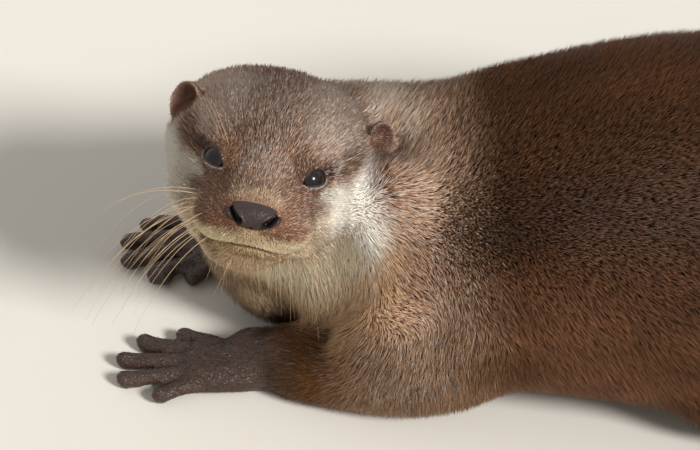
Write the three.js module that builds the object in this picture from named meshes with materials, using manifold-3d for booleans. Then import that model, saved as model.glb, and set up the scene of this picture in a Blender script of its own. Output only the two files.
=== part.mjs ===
// A small-clawed otter at life size, crouched on its forearms and belly with its head turned to its left.
// Millimetres, +Z up, floor at z = 0. The trunk faces -X and the otter's left side is -Y.
// Every form is a closed loft or ellipsoid. The flesh is one set of joined forms, parted by thin cuts.
import * as THREE from "three";
import { mergeVertices } from "three/addons/utils/BufferGeometryUtils.js";
import Module from "manifold-3d";

const wasm = await Module();
wasm.setup();

// ---- Driving dimensions, millimetres and degrees ----
const GAP = 0.3; // clear space left by every cut between two nodes
const HEAD = {
  length: 98, // nose to the back of the skull, coat included
  width: 80.5, // across the cheeks
  height: 58, // crown to jaw
  centre: [-51.2, -21.4, 104.6],
  turn: 84.5, // yaw to the otter's left, from facing along the trunk
  lift: 16, // nose above the horizontal
  tilt: 9.5, // crown leans towards its own left
};
const EYE = { radius: 6.1, at: [24, 17.4, 3], facing: [0.6, 0.58, 0.55], socket: 8.4 };
const EAR = { height: 16.5, width: 13.5, depth: 7, wall: 2.2, at: [-17, 39, 3], facing: [0.78, 0.6, 0.12] };
const NOSE = { width: 20, height: 11.5, depth: 11, at: [46.5, 0, -5.6] };
const TRUNK = { width: 150, height: 134 };
const NECK = { width: 86, height: 96 };
const TAIL = { width: 56, height: 52 };
const HAND = { width: 30, digit: { width: 8, height: 7.4 } };
const SOLE = { width: 36, digit: { width: 8.6, height: 7.6 } };
const SIT = { pad: 0.88, digit: 0.37 }; // centre heights: shares of a pad's half height and of a digit's height
const HIPS_MIDLINE = -23; // y that the hind legs mirror about
const CUTS = {
  neck: { at: [4, 0, 50], towards: [-1, 0.12, 0.25] },
  tail: { at: [240, -27, 36], towards: [1, 0, -0.45] },
  tailMiddle: { at: [318, -16, 0], towards: [0.93, 0.36, 0] },
  tailTip: { at: [394, 18, 0], towards: [0.84, 0.54, 0] },
};

const COLOURS = { brown: 0x5f4535, pale: 0xd9c8b2, face: 0x7c6152, bare: 0x41342e, eye: 0x241814 };
const ROUGHNESS = { coat: 0.8, bare: 0.45, eye: 0.1 };

const UP = new THREE.Vector3(0, 0, 1);
const v3 = (list) => new THREE.Vector3(...list);

// ---- Forms ----

// Quarter-ellipse rings that round off an end `cap` long: distance from the pole and share of the full size.
function capRings(cap, count) {
  return Array.from({ length: count }, (_, k) => {
    const angle = ((k + 1) / (count + 1)) * (Math.PI / 2);
    return [cap * (1 - Math.cos(angle)), Math.sin(angle)];
  });
}

// A closed loft. Stations are {at: [x, y, z], side, up, down}: a centre and the half sizes of a superellipse
// there, read smoothly along the centre line. `top` is the direction of each section's upper half, `caps` the
// lengths of the rounded ends, and `grow` a thickness added all over.
function loft(stations, shape) {
  const { sides, rings, power = 2, caps, capSteps = 2, top = UP, grow = 0 } = shape;
  const centre = new THREE.CatmullRomCurve3(stations.map((s) => v3(s.at)));
  const size = new THREE.CatmullRomCurve3(stations.map((s) => new THREE.Vector3(s.side, s.up, s.down ?? s.up)));
  centre.arcLengthDivisions = 400;
  const length = centre.getLength();
  const [first, last] = caps;
  const middle = Array.from({ length: rings + 1 }, (_, i) => [first + ((length - first - last) * i) / rings, 1]);
  const ends = capRings(last, capSteps).map(([d, share]) => [length - d, share]);
  const spans = [...capRings(first, capSteps), ...middle, ...ends.reverse()];

  const positions = [];
  const pole = (u, outward) => {
    const t = centre.getUtoTmapping(u);
    positions.push(...centre.getPoint(t).addScaledVector(centre.getTangent(t), outward * grow));
  };
  pole(0, -1);
  for (const [distance, share] of spans) {
    const t = centre.getUtoTmapping(distance / length);
    const along = centre.getTangent(t);
    const across = new THREE.Vector3().crossVectors(along, top).normalize();
    const over = new THREE.Vector3().crossVectors(across, along);
    const half = size.getPoint(t);
    for (let k = 0; k < sides; k++) {
      const angle = (k / sides) * Math.PI * 2;
      const round = (x) => Math.sign(x) * Math.abs(x) ** (2 / power);
      const height = Math.sin(angle) > 0 ? half.y : half.z;
      const out = round(Math.cos(angle)) * (half.x * share + grow);
      const rise = round(Math.sin(angle)) * (height * share + grow);
      positions.push(...centre.getPoint(t).addScaledVector(across, out).addScaledVector(over, rise));
    }
  }
  pole(1, 1);

  const index = [];
  const end = positions.length / 3 - 1;
  const ring = (i, k) => 1 + i * sides + (k % sides);
  for (let k = 0; k < sides; k++) {
    index.push(0, ring(0, k), ring(0, k + 1));
    index.push(end, ring(spans.length - 1, k + 1), ring(spans.length - 1, k));
    for (let i = 0; i + 1 < spans.length; i++) {
      index.push(ring(i, k), ring(i + 1, k), ring(i + 1, k + 1));
      index.push(ring(i, k), ring(i + 1, k + 1), ring(i, k + 1));
    }
  }
  return solid(positions, index);
}

// The manifold solid of these corners and triangles, turned to face outwards.
function solid(positions, index) {
  const vertProperties = new Float32Array(positions);
  const build = (triVerts) => new wasm.Manifold(new wasm.Mesh({ numProp: 3, vertProperties, triVerts }));
  const made = build(new Uint32Array(index));
  return made.volume() > 0 ? made : build(new Uint32Array(index).reverse());
}

// An ellipsoid with these half sizes, turned by `rotation` about its centre: a loft that is nearly all caps.
function ellipsoid(at, half, { rotation = new THREE.Quaternion(), sides = 12, grow = 0 } = {}) {
  const [ahead, side, up] = half.map((size) => size + grow);
  const cap = ahead - 0.01;
  const stations = [-1, -0.34, 0.34, 1].map((x) => ({ at: [x * ahead, 0, 0], side, up }));
  const made = loft(stations, { sides, rings: 1, caps: [cap, cap] });
  return moved(made, new THREE.Matrix4().compose(v3(at), rotation, new THREE.Vector3(1, 1, 1)));
}

// The solid carried by a three.js matrix.
function moved(made, matrix) {
  return made.transform(matrix.elements);
}

const joined = (solids) => solids.reduce((all, one) => all.add(one));
const without = (made, ...others) => others.reduce((left, one) => left.subtract(one), made);

// Everything below the floor, which leaves the small flats that the otter rests on.
const floor = (() => {
  const size = { length: 1400, width: 1000, depth: 200 };
  const box = new THREE.BoxGeometry(size.length, size.width, size.depth).translate(0, 0, -size.depth / 2);
  box.deleteAttribute("normal");
  box.deleteAttribute("uv");
  const merged = mergeVertices(box);
  return solid(merged.attributes.position.array, merged.index.array);
})();

// The two sides of a solid parted at a point, `normal` pointing into the first, with GAP between them.
function parted(made, at, normal) {
  const n = v3(normal).normalize();
  const offset = n.dot(v3(at));
  return [
    made.trimByPlane(n.toArray(), offset + GAP / 2),
    made.trimByPlane(n.clone().negate().toArray(), GAP / 2 - offset),
  ];
}

// The largest piece of a solid, without crumbs that a cut left.
function whole(made) {
  return made.decompose().reduce((best, one) => (one.volume() > best.volume() ? one : best));
}

// ---- Trunk, neck and tail ----

// A loft's stations, from rows of [x, y, z, share of the half width, and of the half height above and below].
const sized = (rows, { width, height }) =>
  rows.map(([x, y, z, side, up, down = up]) => ({
    at: [x, y, z],
    side: (side * width) / 2,
    up: (up * height) / 2,
    down: (down * height) / 2,
  }));

const trunk = (grow = 0) =>
  loft(
    sized(
      [
        [7, -5, 57, 0.42, 0.5],
        [24, -10, 59, 0.68, 0.77],
        [42, -14, 61, 0.81, 0.87, 0.92],
        [66, -17, 64, 0.92, 0.94, 0.97],
        [94, -19, 67, 0.99, 1, 1.015],
        [124, -20, 68.5, 1, 1.03, 1.035],
        [158, -22, 68, 0.97, 1.01, 1.02],
        [192, -24, 61, 0.87, 0.9, 0.86],
        [220, -26, 50, 0.66, 0.72, 0.66],
        [246, -27, 38, 0.42, 0.5, 0.46],
      ],
      TRUNK,
    ),
    { sides: 22, rings: 12, power: 2.15, caps: [14, 16], grow },
  );

// The neck is deepest along the line from nape to throat, which leans over as the head turns. From its front
// end the throat rises to the left, to carry the head.
const neck = (grow = 0) => {
  const lengthwise = sized(
    [
      [48, -12, 60, 1.2, 1.16],
      [24, -6, 57.5, 1.1, 1.1],
      [4, 1, 54.5, 0.95, 1.05],
      [-14, 6.5, 51, 0.84, 1.03],
      [-36, 9, 48, 0.84, 1.02],
      [-58, 9, 48, 0.8, 0.94],
      [-82, 9, 48, 0.68, 0.78],
    ],
    NECK,
  );
  const rising = sized(
    [
      [-40, 16, 40, 0.8, 0.8, 0.7],
      [-43, 2, 59, 0.9, 0.94, 0.78],
      [-46, -13, 79, 0.88, 0.94, 0.74],
      [-49, -27, 96, 0.74, 0.8, 0.58],
    ],
    NECK,
  );
  return joined([
    loft(lengthwise, { sides: 18, rings: 6, caps: [14, 30], capSteps: 3, top: v3([0, 0.5, 0.866]), grow }),
    loft(rising, { sides: 16, rings: 3, caps: [14, 12], top: v3([0, 1, 0]), grow }),
  ]);
};

// The tail tapers from a thick root and lies along the floor in one slow bend.
const tail = (grow = 0) =>
  loft(
    sized(
      [
        [222, -26, 46, 1.46, 1.34],
        [250, -27, 35, 1.24, 1.14],
        [282, -24, 23.8, 0.96, 0.9],
        [318, -16, 16.6, 0.74, 0.67],
        [356, -2, 12.4, 0.57, 0.51],
        [394, 18, 9.6, 0.44, 0.4],
        [428, 42, 7.6, 0.34, 0.32],
        [456, 70, 5.8, 0.26, 0.25],
        [474, 96, 4.2, 0.19, 0.18],
      ],
      TAIL,
    ),
    { sides: 11, rings: 12, caps: [10, 6], grow },
  );

// ---- Head, in its own frame: -X ahead, -Y its left, +Z up, origin at the middle of the skull ----

const headAt = (ahead, left, up) => [-ahead, -left, up];
const bothSides = (make) => [1, -1].map(make);

// Where a form on one side of the head (1 its left, -1 its right) faces, and the turn that brings -X there.
function facing([ahead, left, up], side) {
  const towards = v3(headAt(ahead, side * left, up)).normalize();
  return { towards, rotation: new THREE.Quaternion().setFromUnitVectors(v3([-1, 0, 0]), towards) };
}

// The skull and muzzle, with full cheeks, whisker pads and a chin. Rows are [share of half the length ahead,
// centre height, share of the half width, and of the half height above and below].
function head(grow = 0) {
  const rows = [
    [-0.95, -3, 0.7, 0.58, 0.68],
    [-0.6, -3, 0.96, 0.84, 0.98],
    [-0.2, -3, 1.02, 0.88, 1.0],
    [0.12, -3.5, 0.95, 0.86, 0.98],
    [0.31, -4, 0.83, 0.76, 0.93],
    [0.45, -5, 0.68, 0.63, 0.86],
    [0.55, -6, 0.575, 0.55, 0.79],
    [0.67, -8, 0.52, 0.5, 0.69],
    [0.8, -10, 0.49, 0.45, 0.56],
    [0.92, -11, 0.41, 0.38, 0.38],
    [1.03, -11.5, 0.27, 0.26, 0.22],
  ];
  const stations = rows.map(([along, rise, side, up, down]) => ({
    at: headAt((along * HEAD.length) / 2, 0, rise),
    side: (side * HEAD.width) / 2,
    up: (up * HEAD.height) / 2,
    down: (down * HEAD.height) / 2,
  }));
  const skull = loft(stations, { sides: 18, rings: 12, power: 2.05, caps: [14, 5], grow });
  const full = (at, half) => ellipsoid(at, half, { sides: 10, grow });
  const cheeks = bothSides((side) => full(headAt(8, side * 22, -14), [22, 15, 15]));
  const whiskerPads = bothSides((side) => full(headAt(36, side * 12.5, -12.5), [13, 12, 9.5]));
  const chin = full(headAt(33, 0, -23), [12, 14.5, 6.5]);
  return joined([skull, ...cheeks, ...whiskerPads, chin]);
}

const eyeBall = (side, grow = 0) =>
  ellipsoid(headAt(EYE.at[0], side * EYE.at[1], EYE.at[2]), Array(3).fill(EYE.radius), { grow });

// The shallow dish that the lids and brow make round each eye.
function eyeSocket(side) {
  const { towards, rotation } = facing(EYE.facing, side);
  const at = v3(headAt(EYE.at[0], side * EYE.at[1], EYE.at[2])).addScaledVector(towards, EYE.radius + 0.6);
  return ellipsoid(at.toArray(), [3.4, EYE.socket, EYE.socket * 0.85], { rotation, sides: 10 });
}

// A small round cup that opens ahead and outwards.
function ear(side) {
  const { towards, rotation } = facing(EAR.facing, side);
  const at = v3(headAt(EAR.at[0], side * EAR.at[1], EAR.at[2]));
  const half = [EAR.depth / 2, EAR.width / 2, EAR.height / 2];
  const hollow = at.clone().addScaledVector(towards, EAR.wall + 0.6);
  const inner = half.map((size) => size - EAR.wall / 2);
  const cup = ellipsoid(at.toArray(), half, { rotation });
  return cup.subtract(ellipsoid(hollow.toArray(), inner, { rotation, sides: 10 }));
}

// The bare pad: broad above, narrower at the lip, with a comma-shaped nostril on either side.
function nose(grow = 0) {
  const half = [NOSE.depth / 2, NOSE.width / 2, NOSE.height / 2];
  const pad = ellipsoid(headAt(...NOSE.at), half, { sides: 12, grow });
  if (grow > 0) return pad;
  const nostrils = bothSides((side) =>
    ellipsoid(headAt(NOSE.at[0] + 3.2, side * 7.2, NOSE.at[2] - 0.6), [3, 2.4, 2], { sides: 5 }),
  );
  return without(pad, ...nostrils);
}

const headMatrix = new THREE.Matrix4().compose(
  v3(HEAD.centre),
  new THREE.Quaternion().setFromEuler(
    new THREE.Euler(
      THREE.MathUtils.degToRad(HEAD.tilt),
      THREE.MathUtils.degToRad(HEAD.lift),
      THREE.MathUtils.degToRad(HEAD.turn),
      "ZYX",
    ),
  ),
  new THREE.Vector3(1, 1, 1),
);

// ---- Limbs ----

// A round limb through stations [x, y, z, half thickness].
const limb = (rows) =>
  loft(
    rows.map(([x, y, z, half]) => ({ at: [x, y, z], side: half, up: half })),
    { sides: 10, rings: 3, caps: [rows[0][3] * 0.8, rows.at(-1)[3] * 0.8], top: v3([0, 1, 0]) },
  );

// A foot on the floor: a low pad from heel to knuckles, and digits that spread from it with knobbed tips.
// `pad` holds [x, y, share of the half width, half height], `tips` the digits' ends, and `roots` the two ends
// of the line of knuckles. The centre lines lie low enough for the floor to cut small flats.
function foot({ pad, roots, tips }, { width, digit }, grow = 0) {
  const sole = loft(
    pad.map(([x, y, side, up]) => ({ at: [x, y, up * SIT.pad], side: (side * width) / 2, up })),
    { sides: 9, rings: 3, caps: [6, 6], power: 2.3, grow },
  );
  const arch = digit.height * 0.16;
  const swellings = [
    [0, 1.06],
    [0.36, 0.94],
    [0.7, 0.9],
    [1, 1.0],
  ];
  const digits = tips.map(([x, y], i) => {
    const root = v3(roots[0]).lerp(v3(roots[1]), i / (tips.length - 1));
    const tip = new THREE.Vector3(x, y, digit.height * SIT.digit);
    const stations = swellings.map(([share, size]) => {
      const at = root.clone().lerp(tip, share);
      at.z += arch * Math.sin(share * Math.PI);
      return { at: at.toArray(), side: (digit.width / 2) * size, up: (digit.height / 2) * size };
    });
    return loft(stations, { sides: 6, rings: 2, caps: [2.6, 2.6], capSteps: 1, grow });
  });
  return joined([sole, ...digits]);
}

// The forelegs lie along the floor, elbows beside the chest and both hands pointing ahead.
const FORELEGS = {
  left: {
    upper: [
      [26, -48, 64, 26],
      [38, -57, 43, 24],
      [38, -54, 24, 19],
    ],
    fore: [
      [40, -50, 18, 17.5],
      [14, -53, 16.5, 17.2],
      [-12, -54, 14.8, 16.6],
      [-36, -47, 12.4, 14.6],
      [-62, -41, 9.5, 11],
    ],
    pad: [
      [-50, -42, 0.72, 8.4],
      [-64, -41, 0.86, 7.6],
      [-80, -39, 1.0, 6.6],
      [-88, -38, 0.86, 5.2],
    ],
    roots: [
      [-72, -28.5, 6],
      [-76, -49, 6],
    ],
    tips: [
      [-90, -20],
      [-106, -24],
      [-114, -34],
      [-113.5, -45.5],
      [-99, -55],
    ],
  },
  right: {
    upper: [
      [26, 24, 64, 26],
      [38, 32, 43, 24],
      [38, 30, 24, 19],
    ],
    fore: [
      [40, 26, 18, 17.5],
      [14, 33, 16.5, 17.2],
      [-12, 38, 14.5, 16],
      [-36, 38, 12, 14],
      [-62, 34, 9.5, 11],
    ],
    pad: [
      [-52, 35, 0.72, 8.4],
      [-66, 33.5, 0.86, 7.6],
      [-80, 32.5, 1.0, 6.6],
      [-88, 32, 0.86, 5.2],
    ],
    roots: [
      [-72, 22.5, 6],
      [-76, 43, 6],
    ],
    tips: [
      [-88, 13],
      [-104, 15],
      [-115, 25],
      [-115.5, 38],
      [-103, 50],
    ],
  },
};

// The hind legs are folded under the hips, knees outwards and soles flat.
const HINDLEGS = {
  left: {
    upper: [
      [206, -26, 66, 36],
      [170, -62, 53, 43],
      [137, -75, 38, 32],
    ],
    lower: [
      [134, -76, 31, 21],
      [160, -80, 23, 17],
      [192, -82, 14, 13],
      [206, -82, 11, 11],
    ],
    pad: [
      [206, -82, 0.56, 8.6],
      [190, -84, 0.66, 7.8],
      [172, -87, 0.84, 7.2],
      [156, -90, 1.0, 6.2],
      [148, -91, 0.86, 5],
    ],
    roots: [
      [160, -77.5, 6],
      [162, -103, 6],
    ],
    tips: [
      [144, -71],
      [130, -77],
      [124, -90],
      [128, -104],
      [142, -115],
    ],
  },
};

// The same rows on the other side of a midline.
function mirrored(value, midline) {
  if (!Array.isArray(value))
    return Object.fromEntries(Object.entries(value).map(([key, inner]) => [key, mirrored(inner, midline)]));
  if (Array.isArray(value[0])) return value.map((row) => mirrored(row, midline));
  const [x, y, ...rest] = value;
  return [x, 2 * midline - y, ...rest];
}
HINDLEGS.right = mirrored(HINDLEGS.left, HIPS_MIDLINE);

// ---- The parted body ----

const body = joined([trunk(), neck(), tail()]);
const bodyGrown = joined([trunk(GAP), neck(GAP), tail(GAP)]);
const headGrown = moved(head(GAP), headMatrix);
const cut = (made, { at, towards }) => parted(made, at, towards).map(whole);
const [neckSolid, behindNeck] = cut(without(body, headGrown, floor), CUTS.neck);
const [tailSolid, trunkSolid] = cut(behindNeck, CUTS.tail);
const [tailRest, tailRoot] = cut(tailSolid, CUTS.tailMiddle);
const [tailTip, tailMiddle] = cut(tailRest, CUTS.tailTip);

function place(name, made, colour, roughness, group) {
  const mesh = made.getMesh();
  const geometry = new THREE.BufferGeometry()
    .setAttribute("position", new THREE.BufferAttribute(new Float32Array(mesh.vertProperties), 3))
    .setIndex(new THREE.BufferAttribute(mesh.triVerts, 1));
  geometry.computeVertexNormals();
  const material = new THREE.MeshStandardMaterial({ color: colour, roughness, metalness: 0 });
  const node = new THREE.Mesh(geometry, material);
  node.name = name;
  group.add(node);
}

const otter = new THREE.Group();
otter.name = "otter";
const placeFurred = (name, made, colour = COLOURS.brown) => place(name, made, colour, ROUGHNESS.coat, otter);
const placeFoot = (name, made) => place(name, made, COLOURS.bare, ROUGHNESS.bare, otter);

placeFurred("trunk", trunkSolid);
placeFurred("neck", neckSolid, COLOURS.pale);
placeFurred("tail_root", tailRoot);
placeFurred("tail_middle", tailMiddle);
placeFurred("tail_tip", tailTip);

// The arm ends and the hand begins at one cut across the wrist.
for (const [side, rows] of Object.entries(FORELEGS)) {
  const [wrist, palm] = rows.pad.map(([x, y]) => [x, y, 0]);
  const ahead = [palm[0] - wrist[0], palm[1] - wrist[1], 0];
  const leg = without(joined([limb(rows.upper), limb(rows.fore)]), bodyGrown, headGrown, floor);
  const hand = without(foot(rows, HAND), floor);
  placeFurred(`${side}_foreleg`, whole(parted(leg, wrist, ahead)[1]));
  placeFoot(`${side}_forefoot`, whole(parted(hand, wrist, ahead)[0]));
}

for (const [side, rows] of Object.entries(HINDLEGS)) {
  const leg = without(joined([limb(rows.upper), limb(rows.lower)]), bodyGrown, foot(rows, SOLE, GAP), floor);
  placeFurred(`${side}_hind_leg`, whole(leg));
  placeFoot(`${side}_hind_foot`, whole(without(foot(rows, SOLE), bodyGrown, floor)));
}

// ---- The head group, turned and lifted as one ----

const headGroup = new THREE.Group();
headGroup.name = "head_group";
headMatrix.decompose(headGroup.position, headGroup.quaternion, headGroup.scale);
otter.add(headGroup);

const bodyInHead = moved(bodyGrown, headMatrix.clone().invert());
const hollows = bothSides((side) => eyeSocket(side));
const eyesGrown = bothSides((side) => eyeBall(side, GAP));
const face = whole(without(head(), nose(GAP), ...hollows, ...eyesGrown));
place("head", face, COLOURS.face, ROUGHNESS.coat, headGroup);
place("nose", nose(), COLOURS.bare, ROUGHNESS.bare, headGroup);
for (const [name, side] of Object.entries({ left: 1, right: -1 })) {
  const pinna = whole(without(ear(side), head(GAP), bodyInHead));
  place(`${name}_eye`, eyeBall(side), COLOURS.eye, ROUGHNESS.eye, headGroup);
  place(`${name}_ear`, pinna, COLOURS.brown, ROUGHNESS.coat, headGroup);
}

// The origin is on the floor, below the middle of the whole animal.
otter.updateMatrixWorld(true);
const box = new THREE.Box3().setFromObject(otter, true);
const middle = box.getCenter(new THREE.Vector3());
otter.position.set(-middle.x, -middle.y, -box.min.z);

export default otter;
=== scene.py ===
"""A life-size small-clawed otter at rest: one skin, a coat of tufts, and eyes, nose, claws and whiskers."""

import logging
import math
from collections.abc import Iterable
from dataclasses import dataclass, field
from enum import Enum, IntEnum
from typing import ClassVar

import bmesh
import bpy
import numpy as np
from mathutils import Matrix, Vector, kdtree


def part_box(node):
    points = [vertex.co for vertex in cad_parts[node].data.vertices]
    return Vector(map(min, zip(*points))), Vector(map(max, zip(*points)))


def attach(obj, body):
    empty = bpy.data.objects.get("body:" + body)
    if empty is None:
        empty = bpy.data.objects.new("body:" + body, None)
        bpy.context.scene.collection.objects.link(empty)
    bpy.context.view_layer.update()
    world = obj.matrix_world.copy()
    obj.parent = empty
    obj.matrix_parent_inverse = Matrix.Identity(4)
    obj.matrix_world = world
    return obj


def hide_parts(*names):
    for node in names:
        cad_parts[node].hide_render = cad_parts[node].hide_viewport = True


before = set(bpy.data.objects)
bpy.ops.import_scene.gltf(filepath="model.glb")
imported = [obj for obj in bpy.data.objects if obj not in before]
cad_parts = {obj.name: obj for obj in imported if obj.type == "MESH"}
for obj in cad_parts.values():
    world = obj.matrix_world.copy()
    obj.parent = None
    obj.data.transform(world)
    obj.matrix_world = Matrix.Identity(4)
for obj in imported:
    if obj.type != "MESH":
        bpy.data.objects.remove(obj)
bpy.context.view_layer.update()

Array = np.ndarray
Thing = bpy.types.Object
Material = bpy.types.Material
MM = 0.001  # metres in a millimetre; arrays here are in millimetres until a mesh is made
SEED = 20261122
COAT_SHARE = 1.0
FLOOR_GAP = 0.02  # lowest height of the skin, just clear of the floor
FAR = 50.0  # a distance that counts as nowhere near
LOG = logging.getLogger("otter")

# ---- numbers and arrays


def unit(vectors: Array) -> Array:
    """Each row divided by its own length."""
    return vectors / np.maximum(np.linalg.norm(vectors, axis=-1, keepdims=True), 1e-9)


def ramp(values: Array, low: float, high: float) -> Array:
    """A smooth step: 0 below low, 1 above high, and t squared times (3 - 2t) between them."""
    t = np.clip((values - low) / (high - low), 0.0, 1.0)
    return t * t * (3.0 - 2.0 * t)


def mix(first: Array, second: Array, share: Array) -> Array:
    """Rows of first, turned into second by a share for each row."""
    return first + (second - first) * share[:, None]


def linear(code: str) -> Array:
    """Linear RGB of an sRGB hex value such as "7c6152"."""
    channels = np.array([int(code[i : i + 2], 16) for i in (0, 2, 4)]) / 255.0
    return np.where(channels <= 0.04045, channels / 12.92, ((channels + 0.055) / 1.055) ** 2.4)


class Ripple:
    """A smooth wandering field of values about -1 to 1: sines of many directions and phases, added up."""

    def __init__(self, wavelength: float, seed: int, waves: int = 9, channels: int = 3) -> None:
        """Draws the waves.

        Args:
            wavelength: typical distance between two crests, in millimetres.
            seed: start of the random draw.
            waves: how many sines each channel adds up.
            channels: how many numbers the field gives at a point.
        """
        rng = np.random.default_rng(seed)
        heading = unit(rng.normal(size=(channels, waves, 3)))
        stretch = rng.uniform(0.6, 1.6, size=(channels, waves, 1))
        self.waves = heading * stretch * (2.0 * math.pi / wavelength)
        self.phases = rng.uniform(0.0, 2.0 * math.pi, size=(channels, waves))

    def at(self, points: Array) -> Array:
        """The sum over waves of sin(wave . point + phase), divided by the root of half their number."""
        angles = np.einsum("nk,cwk->ncw", points, self.waves) + self.phases
        return np.sin(angles).sum(axis=2) / math.sqrt(self.phases.shape[1] / 2.0)


# ---- meshes


def build_object(name: str, points: Array, faces: Array) -> Thing:
    """A mesh object at the origin, shaded smooth.

    Args:
        name: the piece's name.
        points: corners, n by 3, in millimetres.
        faces: corner numbers, m by 3 or m by 4.

    Returns:
        The object, linked to the scene.
    """
    sides = faces.shape[1]
    mesh = bpy.data.meshes.new(name)
    mesh.vertices.add(len(points))
    mesh.vertices.foreach_set("co", (points * MM).astype(np.float32).ravel())
    mesh.loops.add(faces.size)
    mesh.loops.foreach_set("vertex_index", faces.astype(np.int32).ravel())
    mesh.polygons.add(len(faces))
    mesh.polygons.foreach_set("loop_start", np.arange(0, faces.size, sides, dtype=np.int32))
    mesh.polygons.foreach_set("use_smooth", np.ones(len(faces), dtype=bool))
    mesh.update(calc_edges=True)
    made = bpy.data.objects.new(name, mesh)
    bpy.context.scene.collection.objects.link(made)
    return made


def read_points(mesh: bpy.types.Mesh) -> Array:
    """Corners of a mesh in millimetres, n by 3."""
    flat = np.empty(len(mesh.vertices) * 3, dtype=np.float32)
    mesh.vertices.foreach_get("co", flat)
    return flat.reshape(-1, 3).astype(float) / MM


def read_triangles(mesh: bpy.types.Mesh) -> Array:
    """Corner numbers of a mesh's triangles, m by 3."""
    mesh.calc_loop_triangles()
    flat = np.empty(len(mesh.loop_triangles) * 3, dtype=np.int32)
    mesh.loop_triangles.foreach_get("vertices", flat)
    return flat.reshape(-1, 3)


def grid_faces(rows: int, columns: int) -> Array:
    """Quads of a grid whose columns close on themselves, rows by columns corners."""
    i, j = np.meshgrid(np.arange(rows - 1), np.arange(columns), indexing="ij")
    right = (j + 1) % columns
    quads = [i * columns + j, i * columns + right, (i + 1) * columns + right, (i + 1) * columns + j]
    return np.stack(quads, axis=-1).reshape(-1, 4)


def round_grid(rows: int, columns: int) -> tuple[Array, Array]:
    """Angles from pole to pole as a column, and angles round the poles as a row, both in radians."""
    return np.linspace(0.0, math.pi, rows)[:, None], turn_about(columns)[None, :]


def turn_about(count: int) -> Array:
    """Angles of one full turn in equal steps, in radians."""
    return np.linspace(0.0, 2.0 * math.pi, count, endpoint=False)


def closed_grid_arrays(points: Array, rows: int, columns: int) -> tuple[Array, Array]:
    """Corners and triangles of a closed surface from a grid whose first and last rows are poles.

    Args:
        points: rows times columns places; each end row repeats its pole.
        rows: rows of the grid, from pole to pole.
        columns: columns, which close on themselves.

    Returns:
        The inner rows' corners with both poles after them, and triangles that face out.
    """
    corners = without_pole_rows(points.reshape(rows, columns, 3))
    quads = grid_faces(rows - 2, columns)
    ring = np.arange(columns)
    following = (ring + 1) % columns
    first, last = (rows - 2) * columns, (rows - 2) * columns + 1
    bottom = (rows - 3) * columns
    faces = np.concatenate([
        quads[:, [0, 1, 2]], quads[:, [0, 2, 3]],
        np.stack([np.full(columns, first), following, ring], axis=1),
        np.stack([np.full(columns, last), bottom + ring, bottom + following], axis=1),
    ])
    a, b, c = (corners[faces[:, k]] - corners.mean(axis=0) for k in range(3))
    inside_out = (a * np.cross(b, c)).sum() < 0.0
    return corners, faces[:, ::-1] if inside_out else faces


def without_pole_rows(grid: Array) -> Array:
    """Values for the corners of closed_grid_arrays: the inner rows one after another, then the two poles."""
    return np.concatenate([grid[1:-1].reshape(-1, *grid.shape[2:]), grid[[0, -1], 0]])


def joined(shapes: Iterable[tuple[Array, Array]]) -> tuple[Array, Array]:
    """Several shapes as one.

    Args:
        shapes: corners and faces of each.

    Returns:
        All the corners, and all the faces with their numbers moved on to match.
    """
    corners, faces, count = [], [], 0
    for shape, numbers in shapes:
        corners.append(shape)
        faces.append(numbers + count)
        count += len(shape)
    return np.concatenate(corners), np.concatenate(faces)


def areas(triangles: Array) -> Array:
    """Area of each triangle, from its corners' places, m by 3 by 3."""
    across = np.cross(triangles[:, 1] - triangles[:, 0], triangles[:, 2] - triangles[:, 0])
    return np.linalg.norm(across, axis=1) / 2.0


def random_shares(rng: np.random.Generator, count: int) -> Array:
    """Shares of a triangle's corners, count by 3, for places spread evenly over it.

    Formula: two random sides' shares are folded back where they add up to more than one.

    Args:
        rng: where the draws come from.
        count: how many places.

    Returns:
        Three shares for each place, which add up to one.
    """
    a, b = rng.random((2, count, 1))
    flip = (a + b) > 1.0
    a, b = np.where(flip, 1.0 - a, a), np.where(flip, 1.0 - b, b)
    return np.concatenate([1.0 - a - b, a, b], axis=1)


def set_colours(made: Thing, name: str, colours: Array) -> None:
    """Stores a linear colour for each corner.

    Args:
        made: the object.
        name: the attribute's name.
        colours: linear RGB, n by 3.
    """
    layer = made.data.color_attributes.new(name, "FLOAT_COLOR", "POINT")
    rgba = np.ones((len(colours), 4), dtype=np.float32)
    rgba[:, :3] = colours
    layer.data.foreach_set("color", rgba.ravel())


def set_values(made: Thing, name: str, values: Array) -> None:
    """Stores one number for each corner under an attribute name."""
    layer = made.data.attributes.new(name, "FLOAT", "POINT")
    layer.data.foreach_set("value", values.astype(np.float32))


def corner_normals(points: Array, triangles: Array) -> Array:
    """Smooth normals: the cross products of the triangles' sides, added up at each corner.

    Args:
        points: corners, n by 3.
        triangles: corner numbers, m by 3.

    Returns:
        Unit vectors, n by 3.
    """
    a, b, c = (points[triangles[:, k]] for k in range(3))
    across = np.cross(b - a, c - a)
    total = np.zeros_like(points)
    for axis in range(3):
        for k in range(3):
            total[:, axis] += np.bincount(triangles[:, k], across[:, axis], len(points))
    return unit(total)


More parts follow.
